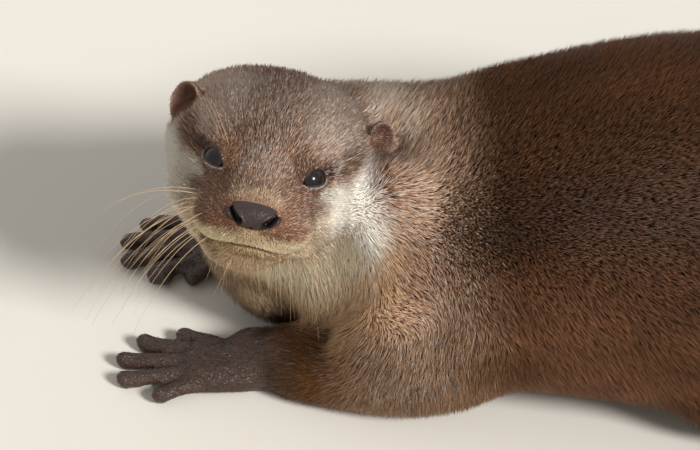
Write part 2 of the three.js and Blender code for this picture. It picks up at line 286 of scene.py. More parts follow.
class Neighbours:
    """The corners next to each corner, kept sorted so that sums over them are quick."""

    def __init__(self, mesh: bpy.types.Mesh) -> None:
        """Lists every edge of a mesh both ways."""
        edges = np.empty(len(mesh.edges) * 2, dtype=np.int32)
        mesh.edges.foreach_get("vertices", edges)
        edges = edges.reshape(-1, 2)
        pairs = np.concatenate([edges, edges[:, ::-1]])
        pairs = pairs[np.argsort(pairs[:, 0], kind="stable")]
        self.other = pairs[:, 1]
        valence = np.bincount(pairs[:, 0], minlength=len(mesh.vertices))
        self.starts = np.concatenate([[0], np.cumsum(valence)[:-1]])
        self.valence = valence.astype(np.float32)[:, None]

    def mean(self, values: Array) -> Array:
        """The mean of the neighbours' rows, for each corner."""
        return np.add.reduceat(values[self.other], self.starts, axis=0) / self.valence

    def relax(self, values: Array, pull: Array, times: int) -> Array:
        """Moves each row towards its neighbours' mean, several times over.

        Args:
            values: a row for each corner.
            pull: share of the way that each row goes in one step.
            times: how many steps.

        Returns:
            The moved rows.
        """
        values, pull = values.astype(np.float32), pull.astype(np.float32)[:, None]
        for _ in range(times):
            values = values + (self.mean(values) - values) * pull
        return values.astype(float)


# ---- anatomy


class Side(Enum):
    """The otter's own left and right."""

    LEFT = 1
    RIGHT = -1

    @property
    def word(self) -> str:
        """The word that names a node on this side."""
        return self.name.lower()


class Region(IntEnum):
    """Stretches of the body that carry their own kind of coat; each one's number is its column of shares."""

    HEAD = 0
    EAR = 1
    NECK = 2
    TRUNK = 3
    TAIL = 4
    FORELEG = 5
    HAND = 6
    HIND_LEG = 7
    SOLE = 8


NODES = {
    Region.HEAD: ("head", "nose", "left_eye", "right_eye"),
    Region.EAR: ("left_ear", "right_ear"),
    Region.NECK: ("neck",),
    Region.TRUNK: ("trunk",),
    Region.TAIL: ("tail_root", "tail_middle", "tail_tip"),
    Region.FORELEG: ("left_foreleg", "right_foreleg"),
    Region.HAND: ("left_forefoot", "right_forefoot"),
    Region.HIND_LEG: ("left_hind_leg", "right_hind_leg"),
    Region.SOLE: ("left_hind_foot", "right_hind_foot"),
}


def box_mm(node: str) -> tuple[Array, Array]:
    """Lowest and highest corner of a node, in millimetres."""
    low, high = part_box(node)
    return np.array(low) / MM, np.array(high) / MM


def spot(node: str, x: float, y: float, z: float) -> Array:
    """The point at these shares of a node's box, in millimetres."""
    low, high = box_mm(node)
    return low + (high - low) * np.array([x, y, z])


@dataclass(frozen=True)
class HeadFrame:
    """The head's own axes and the middle of its skull, in millimetres."""

    origin: Array
    ahead: Array
    left: Array
    up: Array

    @classmethod
    def from_face(cls, eye_ahead: float = 24.0, eye_up: float = 3.0, nose_drop: float = 20.9) -> "HeadFrame":
        """Works the axes out from the eyes and the nose.

        Formula: left runs from the right eye to the left one. The line from between the eyes to the nose,
        cleared of left, is turned up by nose_drop degrees to give ahead. Up is at right angles to both.

        Args:
            eye_ahead: the eyes' distance ahead of the middle of the skull.
            eye_up: their height above it.
            nose_drop: angle of the nose below straight ahead, seen from between the eyes.

        Returns:
            The frame.
        """
        eyes = {side: spot(f"{side.word}_eye", 0.5, 0.5, 0.5) for side in Side}
        between = (eyes[Side.LEFT] + eyes[Side.RIGHT]) / 2.0
        left = unit(eyes[Side.LEFT] - eyes[Side.RIGHT])
        down_nose = spot("nose", 0.5, 0.5, 0.5) - between
        down_nose = unit(down_nose - left * (down_nose @ left))
        turn = math.radians(nose_drop)
        ahead = down_nose * math.cos(turn) + np.cross(down_nose, left) * math.sin(turn)
        up = np.cross(ahead, left)
        return cls(between - ahead * eye_ahead - up * eye_up, ahead, left, up)

    def local(self, points: Array) -> Array:
        """Points as distances ahead, left and up of the middle of the skull."""
        return (points - self.origin) @ np.stack([self.ahead, self.left, self.up], axis=1)

    def world(self, places: Array) -> Array:
        """The opposite of local."""
        return self.origin + self.turn(places)

    def turn(self, directions: Array) -> Array:
        """Directions ahead, left and up, as directions in the room."""
        return np.asarray(directions, dtype=float) @ np.stack([self.ahead, self.left, self.up])


@dataclass(frozen=True)
class EyeFrame:
    """An eyeball's centre with the axes of its lids' opening, in millimetres."""

    centre: Array
    out: Array
    corner: Array
    up: Array

    @classmethod
    def on(cls, head: HeadFrame, side: Side, facing: tuple[float, float, float], tilt: float) -> "EyeFrame":
        """The frame of one eye.

        Formula: the opening faces this way for the left eye, mirrored for the right. The line to the outer
        corner is turned up from level by tilt degrees.

        Args:
            head: the head's frame.
            side: which eye.
            facing: the way out of the left eye, ahead, left and up.
            tilt: angle of the outer corner above level.

        Returns:
            The frame.
        """
        ahead, left, up = facing
        out = unit(head.turn([ahead, left * side.value, up]))
        level = head.left * side.value
        level = unit(level - out * (level @ out))
        above = np.cross(out, level) * side.value
        turn = math.radians(tilt)
        corner = level * math.cos(turn) + above * math.sin(turn)
        across = above * math.cos(turn) - level * math.sin(turn)
        return cls(spot(f"{side.word}_eye", 0.5, 0.5, 0.5), out, corner, across)

    def local(self, points: Array) -> Array:
        """Points as distances towards the outer corner, up, and out of the head."""
        return (points - self.centre) @ np.stack([self.corner, self.up, self.out], axis=1)

    def world(self, places: Array) -> Array:
        """The opposite of local."""
        return self.centre + places @ np.stack([self.corner, self.up, self.out])


@dataclass(frozen=True)
class Lids:
    """The lids' opening: an almond whose inner corner is drawn out and down."""

    ball: float = 6.1
    thickness: float = 0.7
    half_width: float = 5.5
    rise: float = 3.3
    fall: float = 2.7
    inner_drop: float = 0.14
    crest: float = 1.1
    inner_power: float = 0.95
    outer_power: float = 0.52

    def arc(self, across: Array) -> Array:
        """The opening's height as a share of its greatest, which lies a crest's distance outside the middle.

        Formula: (1 - s squared) to a power, with s the share of the way from the crest to the corner. It is
        near one towards the nose, which draws that corner to a point, and near a half outside.

        Args:
            across: distances towards the outer corner.

        Returns:
            Shares from 0 to 1.
        """
        offset = across - self.crest
        reach = np.where(offset < 0.0, self.half_width + self.crest, self.half_width - self.crest)
        s = np.clip(np.abs(offset) / reach, 0.0, 1.0)
        return (1.0 - s * s) ** np.where(offset < 0.0, self.inner_power, self.outer_power)

    def gap(self, across: Array, height: Array) -> Array:
        """Distance outside the opening's edge, negative within it.

        Formula: above the line through both corners the edge is rise times the arc, below it fall times the
        arc. The line drops towards the nose.

        Args:
            across: distances towards the outer corner.
            height: distances up.

        Returns:
            A distance for each place.
        """
        offset = height - self.inner_drop * np.minimum(across, 0.0)
        past = np.abs(offset) - np.where(offset > 0.0, self.rise, self.fall) * self.arc(across)
        beyond = np.maximum(np.abs(across) - self.half_width, 0.0)
        return np.hypot(np.maximum(past, 0.0), beyond) + np.minimum(past, 0.0)

    def edge(self, count: int) -> Array:
        """Points round the edge, count by 2, as distances to the outer corner and up."""
        angle = turn_about(count)
        across = self.half_width * np.cos(angle)
        height = np.where(np.sin(angle) > 0.0, self.rise, -self.fall) * self.arc(across)
        return np.stack([across, height + self.inner_drop * np.minimum(across, 0.0)], axis=1)


@dataclass(frozen=True)
class Mouth:
    """The line where the lips meet: an arch under the nose whose corners hang low behind the whisker pads."""

    front: float = 46.5
    depth: float = 22.0
    half_width: float = 21.5
    height: float = -18.6
    hang: float = 9.5
    reach: float = 80.0  # degrees from the middle to each corner

    def offset(self, places: Array) -> tuple[Array, Array]:
        """How far places lie above the line, and how far past its corners.

        Formula: the angle round the muzzle is that of left over half_width against ahead over depth. There
        the line is at height less hang times (1 - cosine) to the power 0.75, as a share of the same at the
        corners. Only a shell about the muzzle's own radius counts.

        Args:
            places: ahead, left and up in the head's frame.

        Returns:
            Distance above, and distance beyond the corner, which is nothing in between.
        """
        left, ahead = places[:, 1] / self.half_width, (places[:, 0] - self.front + self.depth) / self.depth
        angle = np.arctan2(left, ahead)
        reach = math.radians(self.reach)
        back = 1.0 - np.cos(np.clip(angle, -reach, reach))
        line = self.height - self.hang * (back / (1.0 - math.cos(reach))) ** 0.75
        on_shell = (np.abs(np.hypot(left, ahead) - 1.0) < 0.4) & (np.abs(places[:, 2]) < 45.0)
        beyond = np.maximum(np.abs(angle) - reach, 0.0) * self.half_width + np.where(on_shell, 0.0, 2.0 * FAR)
        return places[:, 2] - line, beyond

    def distance(self, places: Array) -> Array:
        """Distance from the line, over the muzzle's surface; large away from the muzzle."""
        return np.hypot(*self.offset(places))

    def line(self, places: Array) -> Array:
        """How much a place lies on the line itself, from 0 to 1."""
        return 1.0 - ramp(self.distance(places), 0.5, 1.5)


@dataclass(frozen=True)
class Stream:
    """A line that hair follows, from root to tip, with the downward pull on steep sides."""

    points: Array
    droop: float = 0.0

    def flow(self, points: Array) -> tuple[Array, Array]:
        """The line's direction near each point, and the distance to it.

        Formula: every straight stretch's direction counts with 1 / (distance squared + 9) squared.

        Args:
            points: places, n by 3.

        Returns:
            Unit vectors and distances.
        """
        starts, ends = self.points[:-1], self.points[1:]
        along = ends - starts
        length = (along**2).sum(axis=1)
        offset = points[:, None, :] - starts[None]
        t = np.clip((offset * along[None]).sum(axis=2) / length, 0.0, 1.0)
        distance = ((offset - t[:, :, None] * along[None]) ** 2).sum(axis=2)
        weight = 1.0 / (distance + 9.0) ** 2
        heading = (weight[:, :, None] * unit(along)[None]).sum(axis=1) / weight.sum(axis=1)[:, None]
        heading[:, 2] -= self.droop
        return unit(heading), np.sqrt(distance.min(axis=1))


@dataclass(frozen=True)
class Ear:
    """A small round ear: a cup with a thick rolled rim, in millimetres."""

    centre: Array
    out: Array
    across: Array
    up: Array
    half_width: float = 6.9
    half_height: float = 8.0
    back: float = 8.0
    hollow: float = 4.6
    rim: float = 1.3

    @classmethod
    def on(cls, head: HeadFrame, side: Side, place: tuple, facing: tuple, half_width: float = 6.9,
           half_height: float = 8.0) -> "Ear":
        """An ear at a place ahead, left and up of the skull's middle, facing a way given in the same order.

        Args:
            head: the head's frame.
            side: which ear; both tuples are given for the left one and mirrored for the right.
            place: the middle of its rim.
            facing: the way its cup opens.
            half_width: of the cup.
            half_height: of the cup.

        Returns:
            The ear.
        """
        mirror = np.array([1.0, side.value, 1.0])
        out = unit(head.turn(np.array(facing) * mirror))
        up = unit(head.up - out * (head.up @ out))
        return cls(head.world(np.array(place) * mirror), out, np.cross(up, out), up, half_width, half_height)

    def local(self, points: Array) -> Array:
        """Points as shares of the half width and half height, and distance out of the cup."""
        offset = points - self.centre
        return np.stack([offset @ self.across / self.half_width, offset @ self.up / self.half_height,
                         offset @ self.out], axis=1)

    def share(self, points: Array) -> Array:
        """How much a place belongs to the ear: a smooth step round its outline, in front of its root.

        Args:
            points: places, n by 3.

        Returns:
            Shares from 0 to 1.
        """
        across, height, out = self.local(points).T
        inside = 1.0 - ramp(np.hypot(across, height), 1.05, 1.3)
        return inside * ramp(out, -self.back * 0.9, -self.back * 0.35) * (1.0 - ramp(out, 3.0, 5.0))

    def surface(self, rows: int = 25, columns: int = 36) -> tuple[Array, Array]:
        """Corners and faces of the ear.

        Formula: v runs from the pole behind to the pole in front. The outline is the sine of pi v to the
        power 0.6. Behind, depth is -back times the cosine of pi v; in front the surface rolls over a rim
        and falls by hollow times (1 - outline squared).

        Args:
            rows: places from pole to pole.
            columns: places round it.

        Returns:
            Corners and triangles of a closed surface.
        """
        v = np.linspace(0.0, 1.0, rows)[:, None]
        angle = turn_about(columns)[None, :]
        outline = np.sin(math.pi * v) ** 0.6
        behind = -self.back * np.cos(math.pi * np.minimum(v, 0.5))
        front = self.rim * np.sin(math.pi * np.clip((v - 0.5) * 2.0, 0.0, 1.0))
        front = front - self.hollow * (1.0 - outline**2)
        depth = np.where(v > 0.5, front, behind) + 0.0 * angle
        width = self.half_width * outline * np.cos(angle)
        height = self.half_height * outline * np.sin(angle)
        points = depth[..., None] * self.out + width[..., None] * self.across + height[..., None] * self.up
        return closed_grid_arrays((self.centre + points).reshape(-1, 3), rows, columns)


class Anatomy:
    """Where everything is: the head's and eyes' frames, the mouth, and the lines that the hair follows."""

    def __init__(self) -> None:
        """Reads every place from the frame's nodes."""
        self.head = HeadFrame.from_face()
        self.lids = Lids()
        self.mouth = Mouth()
        self.eyes = {side: EyeFrame.on(self.head, side, (0.74, 0.46, 0.49), 26.0) for side in Side}
        self.ears = (Ear.on(self.head, Side.LEFT, (-12.0, 42.2, 8.6), (0.7, 0.66, 0.24)),
                     Ear.on(self.head, Side.RIGHT, (-6.6, 36.9, 9.1), (0.76, 0.62, 0.2), 7.6, 9.2))
        self.nose = self.head.local(spot("nose", 0.5, 0.5, 0.5)[None])[0]
        self.hair_source = self.head.world(np.array([60.0, 0.0, -5.0]))
        self.streams = self._streams()

    def _streams(self) -> dict[Region, list[Stream]]:
        """The lines of flow for every region but the head, where hair spreads out from the nose."""
        back = ((-0.3, 0.4), (0.2, 0.55), (0.6, 0.6), (1.1, 0.2))
        spine = Stream(np.stack([spot("trunk", x, 0.5, z) for x, z in back]), droop=0.25)
        bones = (("root", 0.1), ("middle", 0.1), ("middle", 0.9), ("tip", 0.5), ("tip", 1.0))
        tail = Stream(np.stack([self._slab(f"tail_{word}", share) for word, share in bones]))
        fore, hand, hind, sole = [], [], [], []
        for side in Side:
            leg, foot = f"{side.word}_foreleg", f"{side.word}_forefoot"
            wrist, tips = spot(foot, 1.0, 0.5, 0.4), spot(foot, 0.0, 0.5, 0.2)
            fore.append(Stream(np.stack([spot(leg, 0.8, 0.5, 1.0), spot(leg, 0.88, 0.5, 0.0)])))
            fore.append(Stream(np.stack([spot(leg, 0.42, 0.5, 1.0), spot(leg, 0.4, 0.5, 0.1)])))
            fore.append(Stream(np.stack([spot(leg, 0.22, 0.5, 0.3), wrist, tips])))
            hand.append(Stream(np.stack([wrist, tips])))
            leg, foot = f"{side.word}_hind_leg", f"{side.word}_hind_foot"
            hip, knee = spot(leg, 0.85, 0.5, 0.9), spot(leg, 0.15, 0.5, 0.4)
            heel, toes = spot(foot, 1.0, 0.5, 0.5), spot(foot, 0.0, 0.5, 0.2)
            hind.append(Stream(np.stack([hip, (hip + heel) / 2.0, heel]), droop=0.5))
            hind.append(Stream(np.stack([knee, (knee + heel) / 2.0, heel]), droop=0.2))
            sole.append(Stream(np.stack([heel, toes])))
        chest = [Stream(np.stack([spot("neck", 0.55, y, 0.7), spot("neck", 0.72, 1.6 * y - 0.3, 0.0)]))
                 for y in (0.1, 0.9)]
        return {
            Region.NECK: [spine, *chest], Region.TRUNK: [spine], Region.TAIL: [tail], Region.FORELEG: fore,
            Region.HAND: hand, Region.HIND_LEG: hind, Region.SOLE: sole,
        }

    @staticmethod
    def _slab(node: str, share: float) -> Array:
        """The middle of a slice through a node.

        Args:
            node: the node's name.
            share: the slice's place along the node's length, which runs along x.

        Returns:
            The mean of the corners near that place.
        """
        points = read_points(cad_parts[node].data)
        low, high = points[:, 0].min(), points[:, 0].max()
        near = np.abs(points[:, 0] - (low + (high - low) * share)) < (high - low) * 0.16
        return points[near].mean(axis=0)

    def lid_gap(self, eye: EyeFrame, points: Array) -> Array:
        """Distance outside the opening of an eye's lids: negative within it, and far behind the face."""
        across, height, out = eye.local(points).T
        return np.where(out > 0.0, self.lids.gap(across, height), FAR)

    def lie(self, points: Array, normals: Array, weights: Array) -> Array:
        """The direction in which hair lies at each point, along the skin.

        Formula: on the head hair spreads out from a place before the nose, and less and less so over the
        neck. Elsewhere it follows the region's streams, the nearer the more. Near an eye it turns away from
        the eye. The part along the normal is then taken out.

        Args:
            points: places on the skin.
            normals: the skin's normals there.
            weights: shares of the regions there, n by 9.

        Returns:
            Unit vectors, n by 3.
        """
        outward = unit(points - self.hair_source)
        away = ramp(np.linalg.norm(self.head.local(points), axis=1), 48.0, 76.0)[:, None]
        spreading = weights[:, [Region.HEAD]] + weights[:, [Region.NECK]] * 1.2 * (1.0 - away)
        total = outward * spreading
        for ear in self.ears:
            place = ear.local(points)
            from_middle = unit(place[:, :1] * ear.across + place[:, 1:2] * ear.up - 0.25 * ear.out)
            near = (np.abs(place) < np.array([1.5, 1.5, 9.0])).all(axis=1)
            total += from_middle * (weights[:, Region.EAR] * near * 2.0)[:, None]
        for region, streams in self.streams.items():
            pulls, headings = [], []
            for stream in streams:
                heading, distance = stream.flow(points)
                headings.append(heading)
                pulls.append(1.0 / (distance + 4.0) ** 3)
            pull = np.stack(pulls, axis=1)
            pull /= pull.sum(axis=1, keepdims=True)
            share = weights[:, region]
            if region is Region.NECK:
                share = share * (0.4 + 0.8 * away[:, 0])
            total += (np.stack(headings, axis=1) * pull[:, :, None]).sum(axis=1) * share[:, None]
        for eye in self.eyes.values():
            place = eye.local(points)
            near = 1.0 - ramp(np.linalg.norm(place, axis=1), 6.5, 13.0)
            parting = unit(place[:, :1] * eye.corner + place[:, 1:2] * eye.up)
            total += parting * (near * 1.4)[:, None]
        total -= normals * (total * normals).sum(axis=1, keepdims=True)
        return unit(total)


# ---- markings


@dataclass(frozen=True)
class Patch:
    """A soft-edged oval of colour on both sides of the head, in the head's own frame."""

    name: str
    colour: str
    centre: tuple[float, float, float]
    radii: tuple[float, float, float]
    edge: float = 0.3
    strength: float = 1.0

    def share(self, places: Array) -> Array:
        """How much of this colour a place has: a smooth step across the oval's edge.

        Args:
            places: ahead, left and up in the head's frame.

        Returns:
            Shares from 0 to the patch's strength.
        """
        folded = np.stack([places[:, 0], np.abs(places[:, 1]), places[:, 2]], axis=1)
        distance = np.linalg.norm((folded - np.array(self.centre)) / np.array(self.radii), axis=1)
        return self.strength * (1.0 - ramp(distance, 1.0 - self.edge, 1.0 + self.edge))


HEAD_PATCHES = (
    Patch("forehead", "8c6c57", (16.0, 0.0, 18.0), (30.0, 20.0, 12.0), 0.5, 0.8),
    Patch("between_eyes", "ab8d79", (36.0, 0.0, 5.0), (14.0, 11.0, 9.0), 0.5, 0.8),
    Patch("throat_side", "f4deba", (6.0, 20.0, -38.0), (25.0, 21.0, 21.0), 0.5, 0.9),
    Patch("cheek", "f2e7da", (-3.0, 33.0, -18.0), (30.0, 22.0, 22.5), 0.18),
    Patch("jowl", "f0d6b2", (9.0, 29.0, -33.0), (24.0, 18.0, 13.0), 0.5, 0.85),
    # the pale nape strip is a painted highlight, where light rims the ridge of neck fur
    Patch("nape", "e6cfb8", (-39.0, 38.0, 12.0), (13.0, 8.0, 6.0), 0.4, 0.8),
    Patch("behind_ear", "d8bda4", (-26.0, 47.0, 9.0), (16.0, 10.0, 9.0), 0.5, 0.6),
    Patch("under_eye", "eee2d0", (24.0, 28.0, -6.0), (10.0, 9.0, 7.5), 0.3),
    Patch("muzzle", "8f6f5c", (36.0, 16.0, -5.5), (10.5, 9.6, 7.2), 0.5),
    Patch("muzzle_rear", "70503c", (29.0, 22.5, -7.5), (6.0, 6.0, 4.5), 0.5, 0.8),
    Patch("lip_corner", "dfcbb2", (34.0, 23.5, -16.0), (9.0, 6.5, 7.0), 0.5, 0.9),
    # the pale temple is painted sunlit sheen on the sides of the crown
    Patch("temple_sheen", "ddbfa9", (-6.0, 25.0, 16.0), (26.0, 14.0, 13.0), 0.5, 0.85),
    Patch("upper_lip", "d6c3a0", (40.0, 10.0, -17.5), (13.0, 17.0, 5.5), 0.35),
    Patch("lip_front", "c4ab85", (48.0, 0.0, -14.0), (6.0, 6.0, 4.0), 0.5, 0.8),
    Patch("chin", "d2b088", (34.0, 0.0, -30.0), (16.0, 14.0, 6.0), 0.5, 0.8),
    Patch("nose_arch", "d2b596", (45.0, 0.0, 0.6), (5.0, 12.0, 3.6), 0.4, 0.75),
    Patch("nose_edge", "85593f", (46.0, 0.0, -2.4), (4.6, 9.5, 3.4), 0.35, 0.7),
    # the dark streak behind the eye is painted shade of the lid's fold
    Patch("eye_fold_shade", "5d4432", (12.0, 31.0, 7.5), (13.0, 5.0, 4.5), 0.45, 0.8),
)


class Markings:
    """The colours of the coat, the same for skin and hair."""

    REGION_COLOURS = {
        Region.HEAD: "76543f",
        Region.EAR: "624638",
        # lighter than the hair's own: partly painted sunlight, which the mantle carries onto the shoulders
        Region.NECK: "aa8a71",
        Region.TRUNK: "432814",
        Region.TAIL: "422a1a",
        Region.FORELEG: "694627",
        Region.HAND: "4b382e",
        Region.HIND_LEG: "45291b",
        Region.SOLE: "4c4038",
    }
    # dark skin round the eye; the same colour paints the shade of the fold behind it
    EYE_RING = "35271f"
    # pale hair under the eye, with a painted reflection of the wet lower rim
    LID_PALE_AND_GLINT = "dcd8d6"
    LOWER_LIP = "a5865c"
    LIP_LINE = "4a261b"
    THROAT = "bfa485"
    BELLY = "917357"
    FLANK = "76513a"
    # the bib, on the lit side only: pale throat hair brightened with painted sunlight
    SUNLIT_BIB = "f0c291"
    EAR_CUP = "5c3b2b"
    EAR_RIM = "a88972"

    def __init__(self, anatomy: Anatomy) -> None:
        """Keeps the frames that the markings are placed in."""
        self.anatomy = anatomy
        self.palette = np.stack([linear(self.REGION_COLOURS[region]) for region in Region])
        self.mottle = Ripple(38.0, SEED + 1, channels=1)
        self.mantle_and_sheen = spot("neck", 0.52, 0.25, 0.42)
        self.sunlit_bib = spot("neck", 0.51, 0.06, 0.58)
        self.arm = (spot("left_foreleg", 0.14, 0.5, 0.5)[0], spot("left_foreleg", 0.42, 0.5, 0.5)[0])

    def colour(self, points: Array, normals: Array, weights: Array) -> Array:
        """Linear colour of the coat at each point.

        Formula: the body's colours, then each patch of the head over the last, then what lies round the eyes,
        on the lips and on the ears, all of it a tenth lighter or darker in wandering spots.

        Args:
            points: places on the skin.
            normals: the skin's normals there.
            weights: shares of the regions there, n by 9.

        Returns:
            Linear RGB, n by 3.
        """
        places = self.anatomy.head.local(points)
        made = self._on_body(points, normals, weights)
        on_head = np.clip(weights[:, Region.HEAD] + weights[:, Region.NECK], 0.0, 1.0)
        for patch in HEAD_PATCHES:
            made = mix(made, linear(patch.colour), patch.share(places) * on_head)
        for eye in self.anatomy.eyes.values():
            made = self._round_eye(made, eye, points)
        made = self._on_lips(made, places)
        for ear in self.anatomy.ears:
            made = self._on_ear(made, ear, points)
        return made * (1.0 + 0.1 * self.mottle.at(points))

    def _on_body(self, points: Array, normals: Array, weights: Array) -> Array:
        """The body's colours.

        Formula: the regions' colours by their shares, with the neck's lighter mantle running out over the
        shoulders and upper forelegs and no further back, partly paler hair and partly painted sunlit sheen,
        then belly, flank and throat by how far the skin faces down, with the flank's paleness fading near the
        floor and towards the rear as painted shade, then the bib, pale hair brightened by painted sunlight.

        Args:
            points: places on the skin.
            normals: the skin's normals there.
            weights: shares of the regions there.

        Returns:
            Linear RGB, n by 3.
        """
        trunk, neck, down = weights[:, Region.TRUNK], weights[:, Region.NECK], -normals[:, 2]
        # the mantle: paler neck hair, with painted sunlit sheen over the shoulders and the upper forelegs
        mantle_and_sheen = self.mantle_and_sheen_share(points)
        arm = weights[:, Region.FORELEG] * ramp(points[:, 0], *self.arm) * 0.7
        made = mix(weights @ self.palette, self.palette[Region.NECK], (trunk + arm) * mantle_and_sheen)
        made = mix(made, self.palette[Region.TRUNK], neck * (1.0 - mantle_and_sheen))
        belly = ramp(down, 0.3, 0.95) * (trunk + weights[:, Region.TAIL] * 0.6)
        made = mix(made, linear(self.BELLY), belly * 0.7)
        # the pale flank fades near the floor and towards the rear: painted shade under and behind the body
        flank = ramp(down, -0.75, 0.1) * trunk * ramp(points[:, 2], 0.0, 24.0)
        made = mix(made, linear(self.FLANK), flank * (0.66 - 0.4 * ramp(points[:, 0], -125.0, -60.0)))
        made = mix(made, linear(self.THROAT), neck * ramp(down, -0.3, 0.5) * 0.8)
        return mix(made, linear(self.SUNLIT_BIB), self.chest(points) * 0.85)

    def _round_eye(self, made: Array, eye: EyeFrame, points: Array) -> Array:
        """The dark ring round an eye, the painted shade of the fold behind it towards the ear, and under it
        pale hair with a painted reflection of the lids' wet lower rim.

        Args:
            made: the colours so far.
            eye: the eye's frame.
            points: places on the skin.

        Returns:
            Linear RGB, n by 3.
        """
        across, height, out = eye.local(points).T
        gap = self.anatomy.lid_gap(eye, points)
        ring = (1.0 - ramp(gap, 0.5, 2.4)) * 0.55
        # painted shade of the fold behind the eye, in the ring's dark colour
        fold_shade = (1.0 - ramp(np.abs(height - 1.2), 1.3, 3.4)) * ramp(across, 3.0, 5.5)
        fold_shade *= (1.0 - ramp(across, 9.0, 15.0)) * (out > -6.0)
        made = mix(made, linear(self.EYE_RING), np.maximum(ring, fold_shade * 0.85))
        # a thin pale line below the lids: pale hair and a painted reflection of the wet rim
        pale = (1.0 - ramp(np.abs(gap - 0.9), 0.2, 0.6)) * ramp(-height, 0.0, 1.6)
        return mix(made, linear(self.LID_PALE_AND_GLINT), pale * 0.35)

    def _on_lips(self, made: Array, places: Array) -> Array:
        """The lower lip's edge and the dark line above it.

        Args:
            made: the colours so far.
            places: ahead, left and up in the head's frame.

        Returns:
            Linear RGB, n by 3.
        """
        above, beyond = self.anatomy.mouth.offset(places)
        lip = ramp(-above, 0.4, 1.0) * (1.0 - ramp(-above, 3.4, 5.4)) * (1.0 - ramp(beyond, 0.0, 3.0))
        made = mix(made, linear(self.LOWER_LIP), lip * 0.8)
        return mix(made, linear(self.LIP_LINE), self.anatomy.mouth.line(places))

    def _on_ear(self, made: Array, ear: Ear, points: Array) -> Array:
        """The dark cup and the pale rim of an ear.

        Args:
            made: the colours so far.
            ear: which ear.
            points: places on the skin.

        Returns:
            Linear RGB, n by 3.
        """
        across, height, out = ear.local(points).T
        from_middle = np.hypot(across, height)
        share = ear.share(points)
        cup = share * (1.0 - ramp(from_middle, 0.5, 0.85)) * (out > -4.5)
        rim = share * ramp(from_middle, 0.72, 0.95) * ramp(out, -2.5, -0.5)
        return mix(mix(made, linear(self.EAR_CUP), cup), linear(self.EAR_RIM), rim * 0.9)

    def mantle_and_sheen_share(self, points: Array) -> Array:
        """How much a place belongs to the lighter neck and shoulders, paler hair with painted sunlit sheen: a
        soft-edged ball about the neck.
        """
        return 1.0 - ramp(np.linalg.norm(points - self.mantle_and_sheen, axis=1), 62.0, 98.0)

    def chest(self, points: Array) -> Array:
        """How much a place belongs to the pale bib under the left cheek, pale hair lit by painted sunlight: a
        ball, soft at its edge.
        """
        return 1.0 - ramp(np.linalg.norm(points - self.sunlit_bib, axis=1), 12.0, 40.0)

    def painted_sheen(self, points: Array) -> Array:
        """The share of hairs that carry painted glints of sheen, where wet fur catches the light, at each
        point.

        Formula: a painted sheen band round the shoulders, a soft-edged oval of painted sheen over the crown
        that leaves out eyes and ears, and the sunlit bib, each with its own strength; none near the floor.

        Args:
            points: places on the skin.

        Returns:
            Shares from 0 to 1.
        """
        band = np.exp(-(((np.linalg.norm(points - self.mantle_and_sheen, axis=1) - 64.0) / 13.0) ** 2))
        places = self.anatomy.head.local(points) - np.array([8.0, 0.0, 17.0])
        brow = 1.0 - ramp(np.linalg.norm(places / np.array([40.0, 36.0, 20.0]), axis=1), 0.6, 1.1)
        for eye in self.anatomy.eyes.values():
            brow *= ramp(np.linalg.norm(eye.local(points), axis=1), 5.0, 18.0)
        for ear in self.anatomy.ears:
            brow *= 1.0 - ear.share(points)
        return (0.24 * band + 0.37 * brow + 0.3 * self.chest(points)) * ramp(points[:, 2], 12.0, 30.0)


# ---- skin


@dataclass(frozen=True)
class Hair:
    """The coat of one region and the softness of the flesh under it, in millimetres and degrees."""

    depth: float  # from the skin to the tips' level
    length: float
    width: float
    lift: float  # angle from the skin at the root
    density: float  # tufts per square millimetre
    smoothing: float  # share of the way to the neighbours' mean, in each step that rounds the facets off
    evenness: float  # the same, in each step that evens out the finished body


HAIR = {
    Region.HEAD: Hair(0.6, 4.0, 0.54, 28.0, 2.8, 0.22, 0.0),
    Region.EAR: Hair(0.1, 1.2, 0.28, 13.0, 4.5, 0.012, 0.0),
    Region.NECK: Hair(1.2, 6.8, 0.48, 32.0, 2.4, 0.62, 0.45),
    Region.TRUNK: Hair(1.5, 5.6, 0.37, 46.0, 2.6, 0.62, 0.62),
    Region.TAIL: Hair(0.8, 6.0, 0.46, 18.0, 1.9, 0.5, 0.2),
    Region.FORELEG: Hair(0.5, 5.0, 0.37, 30.0, 2.6, 0.45, 0.45),
    Region.HAND: Hair(0.1, 1.2, 0.3, 16.0, 1.2, 0.05, 0.0),
    Region.HIND_LEG: Hair(1.2, 5.8, 0.46, 34.0, 1.5, 0.5, 0.3),
    Region.SOLE: Hair(0.1, 1.5, 0.34, 20.0, 1.0, 0.04, 0.0),
}


def by_region(weights: Array, size: str) -> Array:
    """One of the sizes of Hair at each point, by the point's shares of the regions."""
    return weights @ np.array([getattr(HAIR[region], size) for region in Region])


@dataclass(frozen=True)
class Mass:
    """An oval of muscle and loose skin that fills the space between two limbs' solids, in millimetres."""

    node: str
    shares: tuple[float, float, float]  # its middle, as shares of the node's box
    radii: tuple[float, float, float]

    def surface(self, rows: int = 22, columns: int = 30) -> tuple[Array, Array]:
        """Corners and faces.

        Formula: a ball stretched by the three radii, cut off flat just above the floor.

        Args:
            rows: places from pole to pole.
            columns: places round it.

        Returns:
            Corners and triangles of a closed surface.
        """
        polar, angle = round_grid(rows, columns)
        ball = np.stack([np.sin(polar) * np.cos(angle), np.sin(polar) * np.sin(angle),
                         np.cos(polar) + 0.0 * angle], axis=-1).reshape(-1, 3)
        points = spot(self.node, *self.shares) + ball * np.array(self.radii)
        points[:, 2] = np.maximum(points[:, 2], 0.3)
        return closed_grid_arrays(points, rows, columns)


